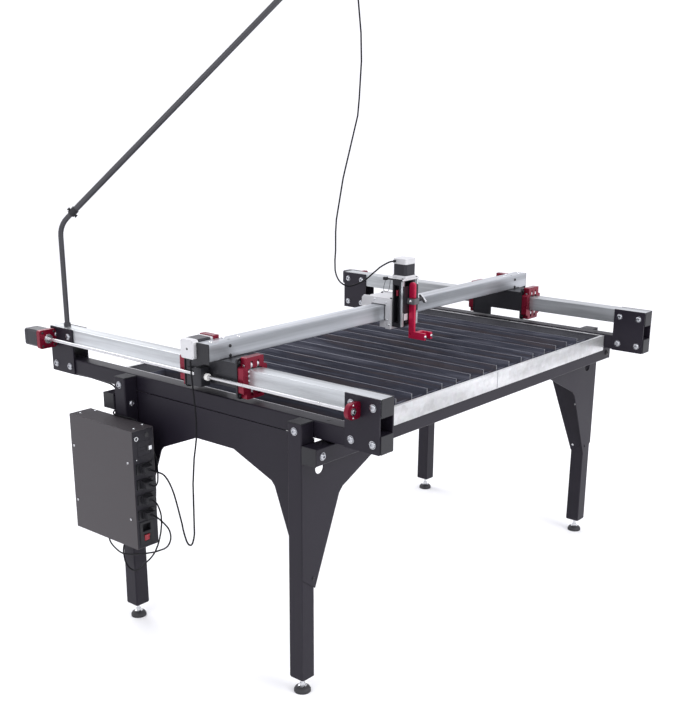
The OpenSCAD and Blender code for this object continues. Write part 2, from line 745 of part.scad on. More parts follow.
// Black wiper plate behind a roller bracket, with rounded corners
module wiper(y) {
    arm = bracket_w / 2;
    corner = 9;
    low = rail_z - ring_high;
    high = rail_top + ring_high - 3;
    translate([rail_x, y + truck_t, 0]) rotate([90, 0, 0]) linear_extrude(truck_t) difference() {
        union() {
            translate([-arm, low + corner]) square([2 * arm, high - low - 2 * corner]);
            translate([-arm + corner, low]) square([2 * (arm - corner), high - low]);
            for (x = [corner - arm, arm - corner], z = [low + corner, high - corner])
                translate([x, z]) circle(r = corner);
        }
        translate([-tube / 2 - wiper_play, rail_z - wiper_play])
            square([tube + 2 * wiper_play, tube + 2 * wiper_play]);
    }
}

module trucks() {
    arm = bracket_w / 2;
    front = -truck_front + bracket_t;
    rear = truck_rear - bracket_t;
    color("#1d1e22") placed() both_sides() difference() {
        union() {
            wiper(front);
            wiper(rear - truck_t);
            block([rail_x - arm, front, truck_plate_z], [rail_x + arm, rear, truck_plate_z + truck_t]);
            for (x = [-arm, arm - truck_t])
                block([rail_x + x, front, rail_z - 4], [rail_x + x + truck_t, rear, truck_plate_z + 1]);
            block([rail_x - arm, 12, rail_z - 34], [rail_x - arm + truck_t, 86, rail_z - 3]);
            block([rail_x + arm - 1, nut_y, rail_z - 12], [screw_x + 20, nut_y + nut_l, rail_z + 42]);
            block(
                [rail_x + arm - 1, nut_y + nut_l, rail_z - 22],
                [rail_x + arm + 12, nut_y + nut_block_l, rail_z + 30]
            );
        }
        rod([screw_x, nut_y - 6, screw_z], nut_block_l + 12, nut_r, "y");
        for (y = [-beam_front + 14, beam_rear - 14])
            rod([rail_x, y, truck_plate_z - 1], truck_t + 2, bolt_r + 0.2);
    }
}

module y_nuts() {
    color("#e4e3dd") placed() both_sides() difference() {
        union() {
            rod([screw_x, nut_y, screw_z], nut_l, nut_r, "y");
            rod([screw_x, nut_y - nut_l / 3, screw_z], nut_l / 3, nut_r + 2.5, "y");
        }
        rod([screw_x, nut_y - nut_l, screw_z], 3 * nut_l, screw_r + fit, "y");
    }
}

module x_motor() {
    color("#2a2b2e") placed()
        translate([x_mount_x - 6, x_axis_y, x_axis_z]) rotate([0, -90, 0]) motor(motor_l);
}

module x_screw_mounts() {
    color("#b01a2b") placed() {
        difference() {
            block(
                [x_mount_x - 6, beam_rear, beam_z + 1],
                [x_mount_x + mount_t, x_axis_y + motor_w / 2, beam_top + 9]
            );
            rod([x_mount_x - 7, x_axis_y, x_axis_z], mount_t + 9, screw_r + fit, "x");
        }
        difference() {
            block([beam_side - 58, beam_rear, beam_z + 6], [beam_side - 38, x_axis_y + 20, beam_top - 2]);
            rod([beam_side - 59, x_axis_y, x_axis_z], 22, screw_r + fit, "x");
        }
    }
}

module x_screw() {
    color("#b9babd") placed()
        rod([x_mount_x - 5.7, x_axis_y, x_axis_z], beam_side - 38 - x_mount_x + 5.7, screw_r, "x");
}

// Side plate of the carriage, hooked over the gantry tube, as [y, z]
module carriage_side() {
    rotate([90, 0, 90]) linear_extrude(carriage_t) polygon([
        [-carriage_front, carriage_low],
        [-carriage_front, carriage_top - 8],
        [-carriage_front + 8, carriage_top],
        [x_axis_y + 10, carriage_top],
        [x_axis_y + 18, carriage_top - 8],
        [x_axis_y + 18, x_axis_z - 14],
        [beam_rear + 6, x_axis_z - 14],
        [beam_rear + 6, beam_top + 2],
        [-beam_front - 4, beam_top + 2],
        [-beam_front - 4, carriage_low]
    ]);
}

module x_carriage() {
    glide = 0.3;
    color("#c9ccce") placed() difference() {
        union() {
            for (x = [-carriage_x, carriage_x - carriage_t]) translate([x, 0, 0]) carriage_side();
            block(
                [-carriage_x, -carriage_front, carriage_top - 10],
                [carriage_x, x_axis_y + 10, carriage_top - 4]
            );
            block(
                [-carriage_x, -carriage_front, carriage_low],
                [carriage_x, -carriage_front + 6, carriage_top - 8]
            );
            for (x = [-carriage_x, carriage_x - 20]) {
                block([x, -beam_front + 4, beam_top + glide], [x + 20, beam_rear - 4, carriage_top - 9]);
                block([x, -carriage_front + 5, beam_z + 4], [x + 20, -beam_front - glide, beam_top - 4]);
                block([x, -carriage_front + 5, carriage_low + 4], [x + 20, -beam_front + 20, beam_z - glide]);
            }
            block(
                [-carriage_x, x_axis_y - 16, x_axis_z - 14],
                [carriage_x, x_axis_y + 16, carriage_top - 9]
            );
        }
        rod([-carriage_x - 1, x_axis_y, x_axis_z], carriage_w + 2, 10, "x");
    }
}

module x_nut() {
    color("#e4e3dd") placed() difference() {
        union() {
            rod([-carriage_x, x_axis_y, x_axis_z], carriage_w, 10, "x");
            rod([-carriage_x - 8, x_axis_y, x_axis_z], 8, 13, "x");
        }
        rod([-carriage_x - 9, x_axis_y, x_axis_z], carriage_w + 10, screw_r + fit, "x");
    }
}

module z_housing() {
    x = lifter_w / 2;
    slot = 20;
    color("#1d1e22") placed() difference() {
        union() {
            block([-x, -housing_front, z_low], [x, -carriage_front, z_high]);
            block([-x, -z_plate_front + 1, z_high - 0.01], [x, -housing_front + 70, z_high + 6]);
        }
        block([-slot, -housing_front - 1, z_low + 6], [slot, -carriage_front - 5, z_high - 4]);
        rod([0, z_axis_y, z_low - 1], lifter_h + 12, lifter_screw_r + fit);
    }
}

module z_rails() {
    x = lifter_w / 2;
    color("#c9ccce") placed() both_sides()
        block([x - 16, -housing_front - 6, z_low + 2], [x - 1, -housing_front, z_high - 1]);
}

module z_motor() {
    color("#2a2b2e") placed() {
        translate([0, z_axis_y, z_high + 6]) motor(lifter_motor_l);
        rod([-motor_w / 2 - 8, lead_y, lead_z], 8.01, 5, "x");
    }
}

module z_screw() {
    color("#b9babd") placed() rod([0, z_axis_y, z_low], lifter_h + 5.7, lifter_screw_r);
}

module z_plate() {
    w = z_plate_w / 2;
    color("#222327") placed() difference() {
        union() {
            block([-w, -z_plate_front, z_plate_z], [w, -z_plate_front + 6, z_plate_z + lifter_plate_h]);
            block([-16, -z_plate_front + 5, z_plate_z + 20], [16, z_axis_y + 7, z_plate_z + 60]);
        }
        rod([0, z_axis_y, z_plate_z + 19], 42, lifter_screw_r + fit);
    }
}

// Guide that holds the torch arm: a black back and side with a grey band round the arm
module arm_clamp() {
    band = 20;
    play = 0.3;
    color("#3a3b40") placed() difference() {
        union() {
            block(
                [arm_x + arm_t + play, arm_y - arm_w + 4, clamp_z - 26],
                [arm_x + arm_t + 9, -z_plate_front, clamp_z + 60]
            );
            block(
                [arm_x - 9, arm_y - arm_w - 7, clamp_z],
                [arm_x + arm_t + 9, -z_plate_front, clamp_z + band]
            );
        }
        block(
            [arm_x - play, arm_y - arm_w - play, clamp_z - 30],
            [arm_x + arm_t + play, arm_y + play, clamp_z + 70]
        );
        rod([arm_x + arm_t - 0.5, arm_y - arm_w / 2, clamp_z + band / 2], 11, 3 + fit, "x");
    }
}

module clamp_knob() {
    at = [arm_x + arm_t + 0.7, arm_y - arm_w / 2, clamp_z + 10];
    color("#d5d7da") placed() translate(at) rotate([0, 90, 0]) {
        cylinder(h = 22, r = 3);
        translate([0, 0, 18]) cylinder(h = 30, r = 6.5);
        rotate(-45) translate([0, 0, 47.8]) {
            translate([-12, -5, 0]) cube([24, 10, 8]);
            for (end = [-12, 12]) translate([end, 0, 0]) cylinder(h = 8, r = 5);
        }
    }
}

module torch_arm() {
    prong = 10;
    fork_y = arm_y - arm_w;
    centre_x = arm_x + prong + fork_gap / 2;
    color("#b01a2b") placed() difference() {
        union() {
            block([arm_x, fork_y, arm_z], [arm_x + arm_t, arm_y, arm_z + arm_h - arm_w / 2]);
            rod([arm_x, arm_y - arm_w / 2, arm_z + arm_h - arm_w / 2], arm_t, arm_w / 2, "x");
            block([arm_x, fork_y - 44, arm_z], [arm_x + prong, fork_y + 1, arm_z + fork_t]);
            block([arm_x, fork_y - 14, arm_z], [arm_x + 2 * prong + fork_gap, fork_y + 1, arm_z + fork_t]);
            block(
                [arm_x + prong + fork_gap, fork_y - 44, arm_z],
                [arm_x + 2 * prong + fork_gap, fork_y + 1, arm_z + fork_t]
            );
        }
        rod([centre_x, fork_y - 28, arm_z - 1], fork_t + 2, torch_r);
    }
}

module box_shell() {
    color("#4c4a4b") placed() translate([-box_front_x, box_y, box_z]) {
        difference() {
            block([0, 0, 0], [box_d, box_w, box_h]);
            block([box_t, -1, box_t], [box_d - box_t, box_w - box_t, box_h - box_t]);
        }
        for (y = [0.08, 0.953], z = [0.251, 0.731]) rod([-2, box_w * y, box_h * z], 2, 4, "x");
    }
}

panel_cuts = [for (z = plug_z) z - box_z];

module box_panel() {
    color("#2b2b2e") placed() translate([-box_front_x, box_y, box_z]) difference() {
        block([box_t + 0.2, 0, box_t + 0.2], [box_d - box_t - 0.2, box_t, box_h - box_t - 0.2]);
        for (z = panel_cuts) block([10, -1, z - 16], [box_d - 10, box_t + 1, z + 16]);
        block([14, -1, 14], [box_d - 22, box_t + 1, 84]);
    }
}

// Framed socket and plug with its cord nipple for each motor cord
module box_plugs() {
    color("#141417") placed() for (z = plug_z) {
        block(
            [-box_front_x + 10.2, box_y - 3, z - 15.8],
            [-box_front_x + box_d - 10.2, box_y + 14, z + 15.8]
        );
        block([plug_x - 17, box_y - plug_out + 6, z - 11], [plug_x + 17, box_y - 2.9, z + 11]);
        rod([plug_x, box_y - plug_out, z], 7, 5, "y");
    }
}

module power_inlet() {
    low = [-box_front_x + 14.2, box_y - 2, box_z + 14.2];
    color("#141417") placed() difference() {
        union() {
            block(low, [-box_front_x + box_d - 22.2, box_y + 22, box_z + 83.8]);
            block(low - [3, 0, 3], [-box_front_x + box_d - 19.2, box_y, box_z + 86.8]);
        }
        block(low + [8, -1, 40], [-box_front_x + box_d - 30, box_y + 16, box_z + 78]);
        block(switch_at - [9.8, 8, 11.6], switch_at + [9.8, 8, 11.6]);
    }
    color("#141417") placed() rod(switch_at - [10, 0, 0], 20, 1.5 - fit, "x");
}

module rocker_switch() {
    color("#d3202c") placed() translate(switch_at) rotate([0, 90, 0]) difference() {
        translate([0, 0, -9.5]) linear_extrude(19) polygon([
            [-10, -4], [-10, -9.5], [0, -6.8], [10, -6.4], [10, -4], [3, 5], [-3, 5]
        ]);
        translate([0, 0, -10]) cylinder(h = 20, r = 1.5);
    }
}

module control_board() {
    gap = box_d * 0.17;
    x = -box_back - gap;
    color("#1f5c3a") placed() translate([0, box_y, box_z]) {
        block([x, box_w * 0.1, box_h * 0.23], [x + 2, box_w * 0.66, box_h * 0.78]);
        for (z = panel_cuts) block([x - gap - 2, box_w * 0.13, z - 14], [x, box_w * 0.3, z + 14]);
        for (y = [0.13, 0.62], z = [0.36, 0.75]) rod([x + 2, box_w * y, box_h * z], gap - box_t - 2, 3, "x");
    }
}

module power_supply() {
    color("#9a9da0") placed() translate([0, box_y, box_z])
        block(
            [-box_front_x + box_d * 0.24, box_w * 0.2, box_t],
            [-box_back - box_t, box_w * 0.85, box_h * 0.2]
        );
}

// Places children on the boom line, with their z axis along the boom and 0 at the mast's bend
module on_boom() {
    translate([-rail_x, mast_y, bend_z]) rotate([0, 0, -45]) translate([bend_r, 0, 0])
        rotate([0, bend_turn, 0]) translate([-bend_r, 0, 0]) children();
}

module boom_mast() {
    color("#35363c") placed() {
        translate([-rail_x, mast_y, rail_top]) {
            cylinder(h = mast_foot, r = mast_r + 3);
            cylinder(h = mast_foot + mast_h + 0.05, r = mast_r);
        }
        translate([-rail_x, mast_y, bend_z]) rotate([0, 0, -45]) translate([bend_r, 0, 0])
            rotate([90, 0, 0]) rotate([0, 0, 180 - bend_turn])
                rotate_extrude(angle = bend_turn) translate([bend_r, 0]) circle(r = mast_r);
        on_boom() translate([0, 0, -0.05]) cylinder(h = mast_tail, r = mast_r);
    }
}

// Collar at the lower end of the sliding tube
module boom_clamp() {
    tube_r = mast_r + fit + boom_wall;
    color("#1b1c20") placed() on_boom() difference() {
        translate([0, 0, boom_start - 16]) cylinder(h = 24, r = tube_r + 2.5);
        translate([0, 0, boom_start - 17]) cylinder(h = 17, r = mast_r + fit);
        translate([0, 0, boom_start]) cylinder(h = 9, r = tube_r);
        for (turn = knob_turns) rotate([0, 0, turn]) translate([0, 0, boom_start - 8])
            rotate([0, 90, 0]) cylinder(h = mast_r + 10, r = knob_r + fit);
    }
}

module boom_knob(turn) {
    color("#1b1c20") placed() on_boom() rotate([0, 0, turn]) translate([mast_r + 0.3, 0, boom_start - 8])
        rotate([0, 90, 0]) {
            cylinder(h = 8, r = knob_r);
            translate([0, 0, 4.6]) cylinder(h = 5, r = knob_r * 1.8);
        }
}

module boom_knob_upper() boom_knob(knob_turns[0]);

module boom_knob_lower() boom_knob(knob_turns[1]);

module boom_tube() {
    tube_r = mast_r + fit + boom_wall;
    color("#35363c") placed() on_boom() translate([0, 0, boom_start]) difference() {
        union() {
            cylinder(h = boom_l, r = tube_r);
            translate([0, 0, boom_l - 16]) cylinder(h = 20, r = tube_r + 2);
        }
        translate([0, 0, -1]) cylinder(h = boom_l - 5, r = mast_r + fit);
    }
}

function unit(v) = v / norm(v);

// Direction of a cord at one of its route points
function heading(p, i) = i == 0 ? unit(p[1] - p[0])
    : i == len(p) - 1 ? unit(p[i] - p[i - 1])
    : unit(unit(p[i + 1] - p[i]) + unit(p[i] - p[i - 1]));

// Point between two route points a and b with directions u and v
function between(a, b, u, v, t) = (2 * t ^ 3 - 3 * t ^ 2 + 1) * a + (t ^ 3 - 2 * t ^ 2 + t) * norm(b - a) * u
    + (3 * t ^ 2 - 2 * t ^ 3) * b + (t ^ 3 - t ^ 2) * norm(b - a) * v;

function turn_angle(u, v) = acos(min(1, max(-1, u * v)));

// More steps where the cord turns more
function cord_steps(u, v, w) = 1 + floor((turn_angle(u, w) + turn_angle(v, w)) / 18);

function smooth_route(p) = [
    for (i = [0 : len(p) - 2])
        let (u = heading(p, i), v = heading(p, i + 1), n = cord_steps(u, v, unit(p[i + 1] - p[i])))
            for (k = [0 : n - 1]) between(p[i], p[i + 1], u, v, k / n),
    p[len(p) - 1]
];

// Round cord swept along its route
module cord(route, radius) {
    sides = 8;
    path = smooth_route(route);
    last = len(path) - 1;
    aims = [for (i = [0 : last]) unit(path[min(i + 1, last)] - path[max(i - 1, 0)])];
    ups = [
        for (i = 0, up = unit(cross(aims[0], [0.31, 0.52, 0.79])); i <= last;
            i = i + 1, up = i > last ? up : unit(up - aims[i] * (up * aims[i]))) up
    ];
    points = [
        for (i = [0 : last], k = [0 : sides - 1])
            path[i] + radius * (cos(360 * k / sides) * ups[i] + sin(360 * k / sides) * cross(aims[i], ups[i]))
    ];
    faces = [
        [for (k = [0 : sides - 1]) k],
        [for (k = [sides - 1 : -1 : 0]) last * sides + k],
        for (i = [0 : last - 1], k = [0 : sides - 1])
            let (a = i * sides + k, b = i * sides + (k + 1) % sides)
                each [[a, a + sides, b], [b, a + sides, b + sides]]
    ];
    color("#18181b") placed() polyhedron(points, faces);
}

module cord_gantry() cord(route_gantry, cord_r);

module cord_y_left() cord(route_y_left, side_cord_r);

module cord_y_right() cord(route_y_right, side_cord_r);

module cord_boom() cord(route_boom, side_cord_r);

module cord_z_upper() cord(route_z_upper, cord_r);

module cord_z_lower() cord(route_z_lower, cord_r);

legs();
cross_beams();
base_tubes();
tube_caps();
side_aprons();
corner_gussets();
rails();
end_plates();
frame_bolts();
foot_front_left();
foot_front_right();
foot_rear_left();
foot_rear_right();
water_tray();
slat_combs();
slats();
y_motors();
y_screw_mounts();
y_screw_left();
y_screw_right();
gantry_beam();
beam_end_plates();
trucks();
truck_brackets();
y_nuts();
rollers_top_front();
rollers_top_rear();
rollers_bottom_front();
rollers_bottom_rear();
x_motor();
x_screw_mounts();
x_screw();
x_carriage();
x_nut();
z_housing();
z_rails();
z_motor();
z_screw();
z_plate();
arm_clamp();
torch_arm();
clamp_knob();
box_shell();
box_panel();
box_plugs();
power_inlet();
rocker_switch();
control_board();
power_supply();
boom_mast();
boom_clamp();
boom_knob_upper();
boom_knob_lower();
boom_tube();
cord_gantry();
cord_y_left();
cord_y_right();
cord_boom();
cord_z_upper();
cord_z_lower();
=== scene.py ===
import json
import math

import bmesh
import bpy
from mathutils import Matrix, Vector


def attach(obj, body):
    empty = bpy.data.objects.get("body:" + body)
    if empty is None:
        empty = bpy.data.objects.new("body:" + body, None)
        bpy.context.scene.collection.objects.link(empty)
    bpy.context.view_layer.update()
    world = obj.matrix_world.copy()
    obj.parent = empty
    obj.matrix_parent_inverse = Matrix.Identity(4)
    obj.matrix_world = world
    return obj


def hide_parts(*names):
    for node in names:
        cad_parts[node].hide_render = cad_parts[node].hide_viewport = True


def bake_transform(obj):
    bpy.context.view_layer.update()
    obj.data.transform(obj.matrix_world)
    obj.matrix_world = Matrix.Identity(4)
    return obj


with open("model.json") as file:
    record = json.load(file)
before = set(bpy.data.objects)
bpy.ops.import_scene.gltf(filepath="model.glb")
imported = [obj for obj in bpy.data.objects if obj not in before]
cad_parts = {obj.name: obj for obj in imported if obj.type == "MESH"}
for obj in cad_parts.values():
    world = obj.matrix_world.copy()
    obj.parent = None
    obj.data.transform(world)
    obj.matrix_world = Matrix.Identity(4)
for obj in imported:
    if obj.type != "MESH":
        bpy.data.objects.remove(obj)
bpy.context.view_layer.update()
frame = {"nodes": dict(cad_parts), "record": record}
print("frame loaded")

# Where the source's own zero lies in the frame, in metres
tableZero = Vector((0.0329, -0.1055, 0.0))


def at(x, y, z):  # a point given in the source's millimetres
    return Vector((x / 1000, y / 1000, z / 1000)) + tableZero


# Camera as the photograph was taken
cameraSet = {
    "place": at(-2872, -2253, 1667),
    "right": (0.645433, -0.763802, 0.004819),
    "up": (0.230662, 0.200922, 0.952064),
    "look": (0.728156, 0.613382, -0.305861),
    "lens": 1080.0 / 723 * 36,
    "shiftY": (440.0 - 361.5) / 723,
}


def makeCamera():
    data = bpy.data.cameras.new("photoCamera")
    data.sensor_fit = "VERTICAL"
    data.sensor_height = 36
    data.sensor_width = 36
    data.lens = cameraSet["lens"]
    data.shift_y = cameraSet["shiftY"]
    data.clip_end = 60
    camera = bpy.data.objects.new("photoCamera", data)
    bpy.context.scene.collection.objects.link(camera)
    right, up, look = (Vector(cameraSet[k]).normalized() for k in ("right", "up", "look"))
    turned = Matrix((right, up, -look)).transposed().to_4x4()
    camera.matrix_world = Matrix.Translation(cameraSet["place"]) @ turned
    bpy.context.scene.camera = camera


makeCamera()
bpy.context.scene.view_settings.view_transform = "Standard"
print("camera placed")

# Finishes. Each is one dictionary: colours, gloss and the size of its grain
finishes = {
    "black_frame": {"base": (0.006, 0.005, 0.009), "second": (0.016, 0.013, 0.021), "metal": 0.0,
                    "rough": (0.38, 0.52), "grain": 1400, "bump": 0.12, "patch": 9, "specular": 0.22},
    "black_plastic": {"base": (0.006, 0.006, 0.008), "second": (0.014, 0.014, 0.017), "metal": 0.0,
                      "rough": (0.38, 0.55), "grain": 900, "bump": 0.08, "patch": 20, "specular": 0.35},
    "aluminium": {"base": (0.50, 0.52, 0.54), "second": (0.77, 0.80, 0.81), "metal": 0.75,
                  "rough": (0.3, 0.46), "grain": 260, "bump": 0.03, "patch": 5, "brush": "Y", "streak": 0.5},
    "beam_aluminium": {"base": (0.40, 0.42, 0.45), "second": (0.74, 0.77, 0.80), "metal": 0.75,
                       "rough": (0.26, 0.4), "grain": 260, "bump": 0.03, "patch": 5, "brush": "X", "streak": 0.4},
    "bright_steel": {"base": (0.50, 0.51, 0.53), "second": (0.82, 0.83, 0.84), "metal": 0.9,
                     "rough": (0.18, 0.32), "grain": 700, "bump": 0.03, "patch": 40},
    "bolt_zinc": {"base": (0.22, 0.225, 0.24), "second": (0.60, 0.61, 0.64), "metal": 1.0,
                  "rough": (0.10, 0.24), "grain": 500, "bump": 0.05, "patch": 130},
    "dark_screw": {"base": (0.016, 0.016, 0.018), "second": (0.035, 0.035, 0.038), "metal": 0.5,
                   "rough": (0.25, 0.4), "grain": 900, "bump": 0.04, "patch": 60},
    "white_cast": {"base": (0.50, 0.50, 0.51), "second": (0.66, 0.66, 0.67), "metal": 0.3, "rough": (0.32, 0.5),
                   "grain": 800, "bump": 0.06, "patch": 30},
    "foot_rubber": {"base": (0.012, 0.012, 0.014), "second": (0.03, 0.03, 0.034), "metal": 0.0,
                    "rough": (0.5, 0.7), "grain": 600, "bump": 0.1, "patch": 40},
    "galvanised": {"base": (0.42, 0.45, 0.48), "second": (0.78, 0.80, 0.83), "metal": 0.6, "rough": (0.24, 0.42),
                   "grain": 90, "bump": 0.02, "patch": 12, "spangle": True, "streak": 0.35},
    "tray_inside": {"base": (0.05, 0.052, 0.06), "second": (0.22, 0.22, 0.24), "metal": 0.3, "rough": (0.4, 0.6),
                    "grain": 200, "bump": 0.06, "patch": 9},
    "slat_steel": {"base": (0.016, 0.017, 0.026), "second": (0.150, 0.157, 0.200), "metal": 0.2,
                   "rough": (0.4, 0.62), "grain": 300, "bump": 0.1, "patch": 16, "specular": 0.3, "tint": True},
    # The next finish paints a highlight onto the slats' upper edges
    "slat_edge": {"base": (0.06, 0.062, 0.08), "second": (0.30, 0.31, 0.36), "metal": 0.6, "rough": (0.3, 0.5),
                  "grain": 300, "bump": 0.06, "patch": 20},
    "slat_end": {"base": (0.25, 0.26, 0.28), "second": (0.75, 0.76, 0.78), "metal": 0.5, "rough": (0.3, 0.5),
                 "grain": 300, "bump": 0.06, "patch": 60},
    "motor_black": {"base": (0.011, 0.011, 0.015), "second": (0.027, 0.027, 0.034), "metal": 0.2,
                    "rough": (0.32, 0.45), "grain": 900, "bump": 0.06, "patch": 25, "specular": 0.4},
    "red_anodised": {"base": (0.10, 0.0015, 0.012), "second": (0.26, 0.004, 0.026), "metal": 0.5,
                     "rough": (0.22, 0.34), "grain": 900, "bump": 0.03, "patch": 18},
    # The torch arm's red: a brighter copy of the red, which paints in the light and highlights that fall on the
    # arm
    "arm_red": {"base": (0.32, 0.003, 0.030), "second": (0.66, 0.008, 0.072), "metal": 0.35,
                "rough": (0.24, 0.36), "grain": 900, "bump": 0.03, "patch": 18},
    "black_anodised": {"base": (0.010, 0.010, 0.013), "second": (0.026, 0.026, 0.031), "metal": 0.4,
                       "rough": (0.3, 0.44), "grain": 1000, "bump": 0.05, "patch": 14},
    "band_grey": {"base": (0.09, 0.09, 0.095), "second": (0.15, 0.15, 0.155), "metal": 0.3, "rough": (0.4, 0.55),
                  "grain": 900, "bump": 0.08, "patch": 25},
    "nut_white": {"base": (0.74, 0.73, 0.70), "second": (0.86, 0.85, 0.82), "metal": 0.0, "rough": (0.35, 0.5),
                  "grain": 500, "bump": 0.03, "patch": 30},
    "box_paint": {"base": (0.032, 0.028, 0.031), "second": (0.050, 0.044, 0.048), "metal": 0.0,
                  "rough": (0.42, 0.56), "grain": 1100, "bump": 0.16, "patch": 7, "specular": 0.4},
    "panel_paint": {"base": (0.010, 0.009, 0.013), "second": (0.020, 0.019, 0.025), "metal": 0.0,
                    "rough": (0.42, 0.55), "grain": 1100, "bump": 0.14, "patch": 12, "specular": 0.25},
    "switch_red": {"base": (0.20, 0.004, 0.012), "second": (0.30, 0.010, 0.022), "metal": 0.0, "rough": (0.2, 0.3),
                   "grain": 400, "bump": 0.02, "patch": 50},
    "board_green": {"base": (0.015, 0.10, 0.05), "second": (0.03, 0.15, 0.08), "metal": 0.0, "rough": (0.3, 0.45),
                    "grain": 700, "bump": 0.06, "patch": 60},
    "supply_metal": {"base": (0.45, 0.46, 0.47), "second": (0.6, 0.61, 0.62), "metal": 0.8, "rough": (0.35, 0.5),
                     "grain": 400, "bump": 0.04, "patch": 20},
    "boom_paint": {"base": (0.022, 0.022, 0.026), "second": (0.040, 0.040, 0.046), "metal": 0.0,
                   "rough": (0.24, 0.36), "grain": 900, "bump": 0.04, "patch": 12},
    "cord_black": {"base": (0.002, 0.002, 0.003), "second": (0.007, 0.007, 0.009), "metal": 0.0,
                   "rough": (0.5, 0.65), "grain": 900, "bump": 0.05, "patch": 40, "specular": 0.15},
    "thread_steel": {"base": (0.42, 0.42, 0.43), "second": (0.72, 0.72, 0.73), "metal": 0.85,
                     "rough": (0.22, 0.36), "grain": 700, "bump": 0.3, "patch": 40, "thread": True},
}
# How far each pattern is drawn out, by the way that its stock is rolled
brushScales = {"X": (0.02, 1, 1), "Y": (1, 0.02, 1)}
streakScales = {"X": (1.2, 30, 30), "Y": (30, 1.2, 30)}
sheetStreaks = (3, 3, 16)
slatStreaks = {"scale": (13, 2.2, 45), "share": 0.55,
               "colours": ((0.36, (0.110, 0.084, 0.082, 1)), (0.50, (0.065, 0.070, 0.098, 1)),
                           (0.68, (0.23, 0.235, 0.285, 1)))}


